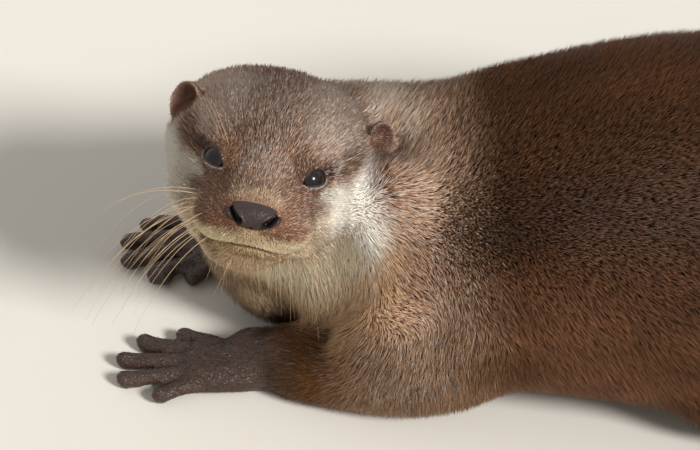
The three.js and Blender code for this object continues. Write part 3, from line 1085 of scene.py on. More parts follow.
MASSES = (
    Mass("left_foreleg", (0.54, 0.49, 0.46), (32.0, 21.0, 29.0)),  # elbow under the chest's hair
    Mass("right_foreleg", (0.52, 0.5, 0.42), (32.0, 20.0, 28.0)),
    Mass("left_foreleg", (0.63, 0.9, 0.77), (34.0, 26.0, 40.0)),  # shoulder
    Mass("right_foreleg", (0.6, 0.15, 0.72), (33.0, 25.0, 40.0)),
    Mass("trunk", (0.19, 0.62, 0.5), (38.0, 42.0, 53.0)),  # withers
    Mass("left_foreleg", (0.22, 0.78, 0.25), (32.0, 13.0, 14.0)),  # forearm's root against the throat
    Mass("right_foreleg", (0.22, 0.22, 0.23), (30.0, 13.0, 14.0)),
    Mass("left_foreleg", (0.84, 0.42, 0.62), (30.0, 18.0, 26.0)),  # behind the elbow
    Mass("right_foreleg", (0.84, 0.55, 0.6), (30.0, 18.0, 26.0)),
    Mass("neck", (0.57, 0.62, 0.71), (26.0, 27.0, 26.0)),  # nape
    Mass("neck", (0.57, 0.15, 0.4), (20.0, 12.0, 23.0)),  # chest before the shoulder
    Mass("neck", (0.7, 0.19, 0.6), (18.0, 18.0, 22.0)),
    Mass("neck", (0.79, 0.17, 0.73), (26.0, 20.0, 26.0)),
    Mass("head", (0.395, 0.24, 0.3), (19.0, 16.0, 9.5)),  # lower jaw
    Mass("head", (0.635, 0.276, 0.27), (8.5, 11.0, 8.5)),  # jowls
    Mass("head", (0.197, 0.327, 0.364), (8.5, 11.0, 8.5)),
    Mass("left_forefoot", (0.95, 0.5, 0.62), (20.0, 15.0, 11.0)),  # wrists
    Mass("right_forefoot", (0.95, 0.5, 0.62), (20.0, 15.0, 11.0)),
    Mass("left_hind_leg", (0.09, 0.57, 0.25), (36.0, 15.0, 19.0)),  # fold from the belly to the knee
    Mass("right_hind_leg", (0.09, 0.43, 0.25), (36.0, 15.0, 19.0)),
)


@dataclass
class Skin:
    """The one skin over head, neck, trunk, tail and limbs."""

    anatomy: Anatomy
    markings: Markings
    grow: float = 0.45  # closes the thin cuts between the solids
    voxel: float = 1.0
    steps: int = 130  # of the first rounding
    even_steps: int = 110  # of the second one
    coarse_share: float = 0.2  # of the faces that the trunk, neck, legs and tail keep
    fine_share: float = 0.75  # of what is then left
    points: Array = field(default_factory=lambda: np.zeros((0, 3)))
    triangles: Array = field(default_factory=lambda: np.zeros((0, 3), dtype=int))
    normals: Array = field(default_factory=lambda: np.zeros((0, 3)))
    weights: Array = field(default_factory=lambda: np.zeros((0, len(Region))))
    draft: Thing | None = None  # the mesh that the corners were last read from

    def build(self) -> Thing:
        """Makes the skin.

        Returns:
            The skin as a piece that stands for every node of flesh.
        """
        draft = self._closed()
        self._take(draft)
        self._smooth_and_sink()
        draft = self._thinned()
        for reach in (1.7, 1.0):
            draft = self._refined(draft, reach)
        self._take(draft)
        self._sculpt()
        bpy.data.objects.remove(draft)
        self.normals = corner_normals(self.points, self.triangles)
        made = build_object("skin", self.points, self.triangles)
        base = self.markings.colour(self.points, self.normals, self.weights)
        set_colours(made, "coat", self._under_colour(base))
        set_values(made, "bare", np.clip(self._bare(), 0.0, 1.0))
        made.data.materials.append(SkinFinish().material())
        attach(made, "root")
        flesh = [node for region in Region for node in NODES[region] if "eye" not in node and node != "nose"]
        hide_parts(*flesh)
        return made

    def _closed(self) -> Thing:
        """The solids, grown a little and the ears drawn anew, as one closed surface of even quads."""
        solids = [self._grown(node) for region in Region if region is not Region.EAR
                  for node in NODES[region]]
        tips = [Mass(f"{side.word}_forefoot", (x + 0.05, y, 0.3), (4.4, 3.5, 3.7)) for side in Side
                for x, y in FORE_TIPS]
        drawn = [shape.surface() for shape in (*self.anatomy.ears, *MASSES, *tips)]
        solid = build_object("draft", *joined(solids + drawn))
        remesh = solid.modifiers.new("close", "REMESH")
        remesh.mode = "VOXEL"
        remesh.voxel_size = self.voxel * MM
        return self._applied(solid)

    def _grown(self, node: str) -> tuple[Array, Array]:
        """A node's corners, merged and moved out a little, and its triangles."""
        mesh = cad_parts[node].data
        merged, index = np.unique(np.round(read_points(mesh), 3), axis=0, return_inverse=True)
        triangles = index.reshape(-1)[read_triangles(mesh)]
        return merged + corner_normals(merged, triangles) * self.grow, triangles

    def _bare(self) -> Array:
        """How much each corner belongs to the nearly hairless feet."""
        return self.weights[:, Region.HAND] + self.weights[:, Region.SOLE]

    @staticmethod
    def _applied(made: Thing) -> Thing:
        """The object with its modifiers worked into its mesh."""
        graph = bpy.context.evaluated_depsgraph_get()
        mesh = bpy.data.meshes.new_from_object(made.evaluated_get(graph))
        made.modifiers.clear()
        made.data = mesh
        return made

    def _take(self, draft: Thing) -> None:
        """Reads a draft's corners and triangles, and finds which region each corner belongs to."""
        self.draft = draft
        self.points = read_points(draft.data)
        self.triangles = read_triangles(draft.data)
        self.normals = corner_normals(self.points, self.triangles)
        self.weights = self._region_weights()

    def _region_weights(self) -> Array:
        """Shares of the regions at each corner.

        Formula: places are strewn over every node, and a corner takes the region of the nearest one. The
        shares are then spread smoothly over the skin. The ears' own outline and a step at the wrist come
        last.

        Returns:
            One row for each corner, one column for each region.
        """
        rng = np.random.default_rng(SEED)
        places, owners = [], []
        for region, nodes in NODES.items():
            for node in nodes:
                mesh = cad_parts[node].data
                triangles = read_points(mesh)[read_triangles(mesh)]
                area = areas(triangles)
                count = int(area.sum() * 0.15) + 40
                pick = rng.choice(len(triangles), count, p=area / area.sum())
                places.append((triangles[pick] * random_shares(rng, count)[:, :, None]).sum(axis=1))
                owners.append(np.full(count, region))
        places, owners = np.concatenate(places), np.concatenate(owners)
        tree = kdtree.KDTree(len(places))
        for number, place in enumerate(places):
            tree.insert(place, number)
        tree.balance()
        nearest = np.array([tree.find(point)[1] for point in self.points])
        shares = np.eye(len(Region))[owners[nearest]]
        shares = Neighbours(self.draft.data).relax(shares, np.full(len(shares), 0.7), 36)
        ear = np.max([ear.share(self.points) for ear in self.anatomy.ears], axis=0)
        shares[:, Region.EAR] = 0.0
        shares *= ((1.0 - ear) / np.maximum(shares.sum(axis=1), 1e-6))[:, None]
        shares[:, Region.EAR] = ear
        limb = shares[:, Region.FORELEG] + shares[:, Region.HAND]
        wrist = box_mm("left_forefoot")[1][0]
        hand = limb * (1.0 - ramp(self.points[:, 0], wrist - 8.0, wrist + 14.0))
        shares[:, Region.HAND], shares[:, Region.FORELEG] = hand, limb - hand
        return shares

    def _round_off(self, around: Neighbours, pull: Array, back: Array, steps: int, share: float) -> None:
        """Rounds the skin, and gives back what its bulges lose as a whole, so that only facets are lost.

        Formula: the loss is the move along the normal, smoothed as often.

        Args:
            around: the corners next to each corner.
            pull: share of the way to their mean in each step.
            back: the same for the loss.
            steps: how many steps.
            share: how much of the loss is given back.
        """
        start = self.points
        self.points = around.relax(start, pull, steps)
        self.normals = corner_normals(self.points, self.triangles)
        lost = ((start - self.points) * self.normals).sum(axis=1, keepdims=True)
        self.points += self.normals * around.relax(lost, back, steps) * share

    def _smooth_and_sink(self) -> None:
        """Rounds the facets off, then lowers the skin by the coat's depth; what is on the floor stays."""
        pull = by_region(self.weights, "smoothing")
        wrist = np.exp(-(((self.points[:, 0] - box_mm("left_forefoot")[1][0]) / 10.0) ** 2))
        limb = self.weights[:, Region.HAND] + self.weights[:, Region.FORELEG]
        pull = np.maximum(pull, 0.5 * wrist * limb)
        level = self.points[:, 2]
        floor = level < 0.9
        self._round_off(Neighbours(self.draft.data), pull, pull, self.steps, 1.0)
        depth = by_region(self.weights, "depth")
        place = self.anatomy.head.local(self.points)
        muzzle = ramp(place[:, 0], 10.0, 40.0) * self.weights[:, Region.HEAD]
        depth = depth + self.grow - muzzle * 0.5
        self.normals = corner_normals(self.points, self.triangles)
        self.points -= self.normals * depth[:, None]
        rest = floor & (self._bare() > 0.3)
        self.points[rest, 2] = level[rest]
        self.points[:, 2] = np.maximum(self.points[:, 2], FLOOR_GAP)
        self.draft.data.vertices.foreach_set("co", (self.points * MM).astype(np.float32).ravel())

    def _thinned(self) -> Thing:
        """The draft with fewer faces where the body is large and plain."""
        fine = [Region.HEAD, Region.EAR, Region.HAND, Region.SOLE]
        plain = 1.0 - self.weights[:, fine].sum(axis=1)
        group = self.draft.vertex_groups.new(name="plain")
        chosen = np.nonzero(plain > 0.6)[0]
        group.add(chosen.tolist(), 1.0, "REPLACE")
        thin = self.draft.modifiers.new("thin", "DECIMATE")
        thin.vertex_group = "plain"
        thin.ratio = 1.0 - (1.0 - self.coarse_share) * len(chosen) / len(plain)
        thin = self.draft.modifiers.new("thin_all", "DECIMATE")
        thin.ratio = self.fine_share
        return self._applied(self.draft)

    def _refined(self, draft: Thing, reach: float) -> Thing:
        """The draft with its faces cut finer round the eyes, the nose and along the mouth.

        Args:
            draft: the mesh as it is.
            reach: how far the cuts go; each round's is smaller than the last.

        Returns:
            The same object.
        """
        head = self.anatomy.head
        points = read_points(draft.data)
        close = np.zeros(len(points), dtype=bool)
        for eye in self.anatomy.eyes.values():
            across, height, out = eye.local(points).T
            close |= (np.hypot(across, height) < 6.2 + 2.0 * reach) & (out > 0.0)
        places = head.local(points)
        close |= self.anatomy.mouth.distance(places) < 2.2 * reach
        nose = np.linalg.norm((places - self.anatomy.nose) / np.array([8.0, 11.0, 7.0]), axis=1)
        close |= nose < 1.0 + 0.1 * reach
        shape = bmesh.new()
        shape.from_mesh(draft.data)
        shape.verts.ensure_lookup_table()
        edges = [edge for edge in shape.edges if close[edge.verts[0].index] and close[edge.verts[1].index]]
        bmesh.ops.subdivide_edges(shape, edges=edges, cuts=1, smooth=0.0)
        bmesh.ops.triangulate(shape, faces=shape.faces[:])
        shape.to_mesh(draft.data)
        shape.free()
        return draft

    def _sculpt(self) -> None:
        """Evens out the body, then adds the lids, the bed of the nose and the lips.

        Formula: the body is rounded over a longer reach than before, and its mean loss is mostly given back.
        """
        around = Neighbours(self.draft.data)
        even = by_region(self.weights, "evenness")
        even[self.points[:, 2] < 1.0] = 0.0
        self._round_off(around, even, np.maximum(even, 0.02), self.even_steps, 0.75)
        self.points[:, 2] = np.maximum(self.points[:, 2], FLOOR_GAP)
        place = self.anatomy.head.local(self.points)
        face = ramp(place[:, 0], 14.0, 26.0) * (self.weights[:, Region.HEAD] > 0.5)
        self.points = around.relax(self.points, 0.35 * face, 14)
        for eye in self.anatomy.eyes.values():
            self._set_lids(eye)
        self._set_nose_bed()
        self._part_lips()

    def _set_lids(self, eye: EyeFrame) -> None:
        """Draws the lids over an eyeball and opens them.

        Formula: the lid's height out of the head is the larger of the skin's own and a sphere a lid's
        thickness outside the ball, which runs on as a straight slope. Where both are alike they blend. Inside
        the opening the skin drops behind the ball.

        Args:
            eye: the eye's frame.
        """
        lids = self.anatomy.lids
        across, height, out = eye.local(self.points).T
        radius = np.hypot(across, height)
        near = (radius < 11.0) & (out > -1.0)
        turn = 4.9  # where the sphere becomes a slope
        soft = 0.6  # width of the blend
        rim = 0.25  # corners this near the opening's edge are moved onto it
        outer = lids.ball + lids.thickness
        slope = turn / math.sqrt(outer**2 - turn**2)
        sphere = np.sqrt(outer**2 - np.minimum(radius, turn) ** 2) - slope * np.maximum(radius - turn, 0.0)
        raised = 0.5 * (sphere + out + np.sqrt((sphere - out) ** 2 + soft**2))
        raised = np.where(radius < turn, np.maximum(sphere, np.minimum(raised, sphere + 0.15)), raised)
        share = 1.0 - ramp(radius, 7.5, 10.5)
        out_new = out + (raised - out) * share
        gap = lids.gap(across, height)
        height_new = np.where(np.abs(gap) < rim, height - gap * np.sign(height), height)
        inside = lids.gap(across, height_new) < -0.02
        hidden = np.sqrt(np.maximum(lids.ball**2 - radius**2, 0.0)) - 1.1
        out_new = np.where(inside, hidden, out_new)
        places = np.stack([across, height_new, out_new], axis=1)
        self.points[near] = eye.world(places[near])

    def _set_nose_bed(self) -> None:
        """Sinks the skin under the nose pad, so that the pad sits in it."""
        places = self.anatomy.head.local(self.points)
        offset = (places - self.anatomy.nose) / np.array([9.0, 9.6, 5.3])
        distance = np.linalg.norm(offset, axis=1)
        depth = 6.0 * (1.0 - ramp(distance, 0.8, 1.04))
        self.points -= depth[:, None] * self.anatomy.head.ahead

    def _part_lips(self) -> None:
        """Draws the groove between the lips; the upper one hangs over the lower."""
        places = self.anatomy.head.local(self.points)
        above, beyond = self.anatomy.mouth.offset(places)
        fade = np.exp(-((beyond / 1.6) ** 2))
        groove = 1.7 * np.exp(-(((above + 0.2) / 0.95) ** 2))
        pout = 1.1 * np.exp(-(((above - 2.3) / 1.5) ** 2)) + 0.55 * np.exp(-(((above + 2.5) / 1.5) ** 2))
        normals = corner_normals(self.points, self.triangles)
        self.points += normals * ((pout - groove) * fade)[:, None]

    def _under_colour(self, coat: Array) -> Array:
        """The skin's colour: the coat's own, darker, with the eyes' edges and the lips' line darkest.

        Args:
            coat: the coat's colour at each corner.

        Returns:
            Linear RGB, n by 3.
        """
        places = self.anatomy.head.local(self.points)
        made = coat * 0.8
        dark = linear("1c1310")
        for eye in self.anatomy.eyes.values():
            made = mix(made, dark, 1.0 - ramp(self.anatomy.lid_gap(eye, self.points), 0.25, 0.8))
        return mix(made, linear("3a1c14"), self.anatomy.mouth.line(places))


# ---- coat


@dataclass(frozen=True)
class Unwrap:
    """A map of a stretch of the body: distance along an axis, and angle round it."""

    start: Array
    end: Array
    over: Array

    def at(self, points: Array) -> Array:
        """Places on the map.

        Formula: the share of the way from start to end, and the share of a turn about that line, both from 0
        to 1 with a narrow edge left free.

        Args:
            points: places on the skin.

        Returns:
            Two numbers for each place.
        """
        length = np.linalg.norm(self.end - self.start)
        along = (self.end - self.start) / length
        offset = points - self.start
        share = offset @ along / length
        over = unit(self.over - along * (self.over @ along))
        side = np.cross(along, over)
        turn = np.arctan2(offset @ side, offset @ over) / (2.0 * math.pi) + 0.5
        return np.stack([np.clip(share, 0.0, 1.0), turn], axis=1) * 0.97 + 0.015


class Coat:
    """The hair, as many thin closed tufts that follow its lie, in pieces by region."""

    LIMIT = 49500  # most tufts in a piece, four triangles each
    PATCH = 0.0015  # half the width of a tuft's patch on the map

    def __init__(self, skin: Skin, anatomy: Anatomy, markings: Markings) -> None:
        """Keeps the skin that the coat grows from."""
        self.skin = skin
        self.anatomy = anatomy
        self.markings = markings
        self.sway = Ripple(5.5, SEED + 2)
        self.drift = Ripple(34.0, SEED + 3)
        self.rng = np.random.default_rng(SEED + 4)

    def build(self) -> list[Thing]:
        """Makes every piece of the coat.

        Returns:
            The pieces.
        """
        roots, normals, weights = self._roots()
        colours = self.markings.colour(roots, normals, weights)
        lie = self.anatomy.lie(roots, normals, weights)
        size = self._sizes(roots, weights)
        keep = size["length"] > 0.3
        made = []
        finish = CoatFinish().material()
        for name, chosen in self._pieces(roots, weights).items():
            numbers = np.nonzero(chosen & keep)[0]
            numbers = numbers[:self.LIMIT]
            piece = self._tufts(f"coat_{name}", numbers, roots, normals, lie, size, colours)
            piece.data.materials.append(finish)
            made.append(piece)
        return made

    def _roots(self) -> tuple[Array, Array, Array]:
        """Places spread over the skin, as many per area as the regions ask for, in random order.

        Returns:
            The places, the skin's normals there and the shares of the regions.
        """
        skin = self.skin
        density = by_region(skin.weights, "density")
        density = density * COAT_SHARE * self._density_factor(skin.points)
        load = areas(skin.points[skin.triangles]) * density[skin.triangles].mean(axis=1)
        total = np.cumsum(load)
        count = int(total[-1])
        marks = (np.arange(count) + self.rng.random(count)) * (total[-1] / count)
        pick = np.minimum(np.searchsorted(total, marks), len(load) - 1)
        shares = random_shares(self.rng, count)
        chosen = skin.triangles[pick]

        def spread(values: Array) -> Array:
            """A value at the roots, from the corners round them."""
            return (values[chosen] * shares[:, :, None]).sum(axis=1)

        order = self.rng.permutation(count)
        roots, normals, weights = spread(skin.points), unit(spread(skin.normals)), spread(skin.weights)
        return roots[order], normals[order], weights[order]

    def _density_factor(self, points: Array) -> Array:
        """Fewer tufts where nobody looks, underneath and on the far side, and more on the face.

        Args:
            points: places on the skin.

        Returns:
            Factors for the regions' densities.
        """
        places = self.anatomy.head.local(points)
        face = 1.0 + 0.5 * ramp(places[:, 0], 0.0, 30.0) * (np.linalg.norm(places, axis=1) < 70.0)
        under = 0.35 + 0.65 * ramp(points[:, 2], 4.0, 12.0)
        far = 1.0 - 0.42 * ramp(points[:, 1], 12.0, 45.0)
        return face * under * far

    def _sizes(self, roots: Array, weights: Array) -> dict[str, Array]:
        """Length, width and lift of every tuft.

        Formula: the regions' values by their shares, with the length shrinking on the face towards the nose
        and the lids, to nothing inside the lids, under the nose pad and in the line of the mouth.

        Args:
            roots: the tufts' places.
            weights: shares of the regions there.

        Returns:
            The three sizes by name.
        """
        count = len(roots)
        places = self.anatomy.head.local(roots)
        made = {name: by_region(weights, name) for name in ("length", "width", "lift")}
        near_head = ramp(weights[:, Region.HEAD], 0.2, 0.8)
        shrink = 1.0 - near_head * 0.5 * ramp(places[:, 0], 4.0, 38.0)
        cheek = (1.0 - ramp(places[:, 2], -24.0, -4.0)) * ramp(np.abs(places[:, 1]), 8.0, 24.0)
        shrink *= 1.0 + 0.45 * cheek * near_head * (1.0 - ramp(places[:, 0], 20.0, 34.0))
        for eye in self.anatomy.eyes.values():
            gap = self.anatomy.lid_gap(eye, roots)
            shrink *= np.where(gap < 0.45, 0.0, 0.38 + 0.62 * ramp(gap, 0.5, 6.0))
        for ear in self.anatomy.ears:
            across, height, out = ear.local(roots).T
            cup = (1.0 - ramp(np.hypot(across, height), 0.72, 0.92)) * (np.abs(out + 1.0) < 4.5)
            shrink *= 1.0 - 0.62 * cup
        nose = np.linalg.norm((places - self.anatomy.nose) / np.array([6.6, 10.2, 5.9]), axis=1)
        shrink *= np.where(nose < 0.98, 0.0, 0.5 + 0.5 * ramp(nose, 1.0, 1.9))
        lips = self.anatomy.mouth.distance(places)
        shrink *= np.where(lips < 0.8, 0.0, 0.4 + 0.6 * ramp(lips, 0.8, 5.0))
        floor = 0.6 + 0.4 * ramp(roots[:, 2], 1.0, 8.0)
        made["length"] *= shrink * floor * self.rng.uniform(0.72, 1.22, count)
        made["width"] *= (0.65 + 0.35 * np.minimum(shrink, 1.0)) * self.rng.uniform(0.75, 1.2, count)
        made["lift"] += self.rng.normal(0.0, 5.0, count)
        return made

    def _pieces(self, roots: Array, weights: Array) -> dict[str, Array]:
        """Which tufts go in which piece, so that each stays small enough.

        Args:
            roots: the tufts' places.
            weights: shares of the regions there.

        Returns:
            For each piece's name, whether each tuft is in it.
        """
        region = weights.argmax(axis=1)
        ahead, beside, _ = self.anatomy.head.local(roots).T
        low, high = box_mm("trunk")
        left = roots[:, 1] < (low[1] + high[1]) / 2.0
        third = np.clip(((roots[:, 0] - low[0]) / (high[0] - low[0]) * 3.0).astype(int), 0, 2)
        head = np.isin(region, (Region.HEAD, Region.EAR))
        neck, trunk = region == Region.NECK, region == Region.TRUNK
        made = {
            "face": head & (ahead > 14.0),
            "cheek_left": head & (ahead <= 14.0) & (beside > 0.0),
            "cheek_right": head & (ahead <= 14.0) & (beside <= 0.0),
            "neck_left": neck & left,
            "neck_right": neck & ~left,
        }
        for number, word in enumerate(("shoulder", "flank", "rump")):
            made[f"{word}_left"] = trunk & left & (third == number)
            made[f"{word}_right"] = trunk & ~left & (third == number)
        made["tail"] = region == Region.TAIL
        made["forelegs"] = np.isin(region, (Region.FORELEG, Region.HAND))
        made["hind_legs"] = np.isin(region, (Region.HIND_LEG, Region.SOLE))
        return made

    def _tufts(self, name: str, numbers: Array, roots: Array, normals: Array, lie: Array,
               size: dict[str, Array], colours: Array) -> Thing:
        """One piece of coat.

        Formula: a tuft is a straight spike that leaves the skin at its lift and stands on a ring of three
        corners, as wide as the tuft and half as thick. The lie sways with two wandering fields and a small
        chance of its own.

        Args:
            name: the piece's name.
            numbers: which tufts it has.
            roots: every tuft's place, as normals, lie, size and colours are every tuft's too.
            normals: the skin's normals.
            lie: the way in which the hair lies.
            size: length, width and lift.
            colours: the coat's colours.

        Returns:
            The piece.
        """
        base, normal, way = roots[numbers], normals[numbers], lie[numbers]
        count = len(numbers)
        way = way + 0.1 * self.sway.at(base) + 0.1 * self.drift.at(base)
        way = way + self.rng.normal(0.0, 0.13, (count, 3))
        way = unit(way - normal * (way * normal).sum(axis=1, keepdims=True))
        side = np.cross(normal, way)
        length = size["length"][numbers][:, None]
        width = size["width"][numbers][:, None]
        lift = np.radians(np.clip(size["lift"][numbers], 6.0, 60.0))[:, None]
        rising = way * np.cos(lift) + normal * np.sin(lift)
        dark, bright = self._root_and_tip(colours[numbers], base)
        buried = base - rising * 0.3
        over = np.cross(rising, side)
        ring = [buried + side * width * 0.5 + over * width * 0.25,
                buried - side * width * 0.5 + over * width * 0.25, buried - over * width * 0.45]
        corners = np.stack([*ring, base + rising * length], axis=1)
        pattern = np.array([[0, 1, 2], [3, 1, 0], [3, 2, 1], [3, 0, 2]])
        shades = np.minimum(np.stack([dark, dark, dark, bright], axis=1), 0.93)
        corners[:, :, 2] = np.maximum(corners[:, :, 2], 0.15)
        faces = (np.arange(count)[:, None, None] * corners.shape[1] + pattern).reshape(-1, 3)
        made = build_object(name, corners.reshape(-1, 3), faces)
        set_colours(made, "coat", np.clip(shades.reshape(-1, 3), 0.0, 0.95))
        self._map(made, base)
        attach(made, "root")
        return made

    def _root_and_tip(self, colours: Array, base: Array) -> tuple[Array, Array]:
        """Each tuft's colour at its root and at its tip.

        Formula: the coat's colour, lighter or darker by chance, and most so in the middle browns. Tips are
        brighter than roots, a few of them much brighter, and those with a painted glint of sheen nearly
        white.

        Args:
            colours: the coat's colour at each root.
            base: the roots' places.

        Returns:
            Linear RGB for the roots and for the tips.
        """
        mean = colours.mean(axis=1, keepdims=True)
        pale = ramp(mean, 0.08, 0.5)
        spread = 0.15 - 0.09 * pale + 0.26 * np.exp(-((np.log(mean / 0.18) / 0.9) ** 2))
        tone = np.exp(self.rng.normal(0.0, 1.0, mean.shape) * spread)
        spark = self.rng.random(mean.shape) ** 3
        body = colours * tone
        dark = body * (0.72 + 0.22 * pale)
        bright = body * (1.3 - 0.15 * pale + (1.9 - 1.8 * pale) * spark * np.array([1.0, 0.95, 0.85]))
        # painted glints: tufts picked by the sheen field turn nearly white at the tip and paler at the root
        glinting = self.rng.random(len(base)) < self.markings.painted_sheen(base)
        glint_colour = linear("e8e4e0") * 0.68 + body * (0.26 / body.max(axis=1, keepdims=True))
        return mix(dark, glint_colour, glinting * 0.3), mix(bright, glint_colour, glinting * 0.85)

    @staticmethod
    def _slot_of(name: str) -> str:
        """A slot name for a piece of coat, by the piece's name."""
        if "face" in name or "cheek" in name:
            return "face_coat"
        return "throat_coat" if "neck" in name else "body_coat"

    def _map(self, made: Thing, base: Array) -> None:
        """Lays each tuft as a small patch at its root's place on the body's own unwrap.

        Args:
            made: a piece of coat.
            base: the roots' places.
        """
        if "face" in made.name or "cheek" in made.name:
            head = self.anatomy.head
            start, end = head.world(np.array([[-52.0, 0.0, -6.0], [56.0, 0.0, -6.0]]))
            unwrap = Unwrap(start, end, head.up)
        else:
            low, high = base.min(axis=0), base.max(axis=0)
            along = np.array([1.0, 0.0, 0.0])
            middle = (low + high) / 2.0 * (1.0 - along)
            unwrap = Unwrap(middle + low * along, middle + high * along, np.array([0.0, 0.0, 1.0]))
        patch = self.PATCH * np.array([[-1.0, 0.0], [0.0, 1.0], [0.0, -1.0], [1.0, 0.0]])
        spread = (unwrap.at(base)[:, None, :] + patch[None]).reshape(-1, 2)
        loops = np.empty(len(made.data.loops), dtype=np.int32)
        made.data.loops.foreach_get("vertex_index", loops)
        layer = made.data.uv_layers.new(name="OFBake")
        layer.data.foreach_set("uv", spread[loops].astype(np.float32).ravel())


# ---- eyes, nose, whiskers and claws


@dataclass
class Eye:
    """An eyeball with its clear bulge, and the dark wet margin of the lids, in millimetres."""

    anatomy: Anatomy
    side: Side
    radius: float = 6.1
    iris: float = 4.4
    pupil: float = 2.3
    bulge: float = 0.35
    margin: float = 0.3
    PUPIL: ClassVar[str] = "0d0808"
    IRIS: ClassVar[str] = "2a1a16"
    LIMBUS: ClassVar[str] = "0d0807"  # the dark ring round the iris
    WHITE: ClassVar[str] = "4a3a33"

    def build(self) -> list[Thing]:
        """Makes the ball and the margin."""
        eye = self.anatomy.eyes[self.side]
        return [self._ball(eye), self._rim(eye)]

    def _ball(self, eye: EyeFrame) -> Thing:
        """The ball.

        Formula: a sphere from pole to pole along the way out, swollen by bulge times a smooth step within the
        iris. Colour depends on the distance from the axis.

        Args:
            eye: the eye's frame.

        Returns:
            The piece, which stands for the eye's node.
        """
        rows, columns = 64, 64
        polar, angle = round_grid(rows, columns)
        swollen = 1.0 - ramp(self.radius * np.sin(polar), self.iris * 0.6, self.iris * 1.3)
        reach = self.radius + self.bulge * swollen * (polar < math.pi / 2.0)
        across = reach * np.sin(polar) * np.cos(angle)
        height = reach * np.sin(polar) * np.sin(angle)
        out = reach * np.cos(polar) + 0.0 * angle
        places = np.stack([across, height, out], axis=-1).reshape(-1, 3)
        corners, faces = closed_grid_arrays(eye.world(places), rows, columns)
        made = build_object(f"{self.side.word}_eye_ball", corners, faces)
        gaze = unit(np.array([-0.12, -0.05, 1.0]))
        directions = unit(places)
        from_axis = self.radius * np.linalg.norm(np.cross(directions, gaze), axis=1)
        from_axis = np.where(directions @ gaze > 0.0, from_axis, self.radius)
        colours = np.tile(linear(self.PUPIL), (len(places), 1))
        colours = mix(colours, linear(self.IRIS), ramp(from_axis, self.pupil * 0.6, self.pupil + 1.2))
        colours = mix(colours, linear(self.LIMBUS), ramp(from_axis, self.iris - 0.7, self.iris))
        colours = mix(colours, linear(self.WHITE), ramp(from_axis, self.iris + 0.1, self.iris + 0.9))
        set_colours(made, "coat", without_pole_rows(colours.reshape(rows, columns, 3)))
        made.data.materials.append(EyeFinish().material())
        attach(made, "root")
        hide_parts(f"{self.side.word}_eye")
        return made

    def _rim(self, eye: EyeFrame) -> Thing:
        """The margin: a thin round roll laid along the lids' edge just above the ball.

        Args:
            eye: the eye's frame.

        Returns:
            The piece.
        """
        edge = self.anatomy.lids.edge(72)
        radius = np.linalg.norm(edge, axis=1)
        level = np.sqrt(np.maximum((self.radius + 0.35) ** 2 - np.minimum(radius, 6.0) ** 2, 0.3))
        line = np.stack([edge[:, 0], edge[:, 1], level], axis=1)
        roll = tube(eye.world(line), np.full(len(line), self.margin), 8, closed=True)
        made = build_object(f"{self.side.word}_lid_margin", *roll)
        made.data.materials.append(MarginFinish().material())
        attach(made, "root")
        return made


def tube(line: Array, radii: Array, sides: int, closed: bool = False) -> tuple[Array, Array]:
    """A round tube along a line.

    Formula: each ring is at right angles to the line's direction, which is the difference of its neighbours.

    Args:
        line: places along it.
        radii: its radius at each place.
        sides: corners of each ring.
        closed: whether the ends join; otherwise each end narrows to a point.

    Returns:
        Corners and triangles.
    """
    count = len(line)
    if closed:
        heading = unit(np.roll(line, -1, axis=0) - np.roll(line, 1, axis=0))
    else:
        heading = unit(np.gradient(line, axis=0))
    guide = np.array([0.31, 0.17, 0.94])
    side = unit(np.cross(heading, guide))
    over = np.cross(heading, side)
    angle = turn_about(sides)
    ring = np.cos(angle)[None, :, None] * side[:, None] + np.sin(angle)[None, :, None] * over[:, None]
    corners = (line[:, None] + ring * radii[:, None, None]).reshape(-1, 3)
    quads = grid_faces(count, sides)
    here = np.arange(sides)
    following = (here + 1) % sides
    last = (count - 1) * sides
    if closed:
        quads = np.concatenate([quads, np.stack([last + here, last + following, following, here], axis=1)])
        return corners, np.concatenate([quads[:, [0, 1, 2]], quads[:, [0, 2, 3]]])[:, ::-1]
    corners = np.concatenate([corners, line[:1], line[-1:]])
    start = np.stack([np.full(sides, len(corners) - 2), following, here], axis=1)
    end = np.stack([np.full(sides, len(corners) - 1), last + here, last + following], axis=1)
    return corners, np.concatenate([quads[:, [0, 1, 2]], quads[:, [0, 2, 3]], start, end])[:, ::-1]


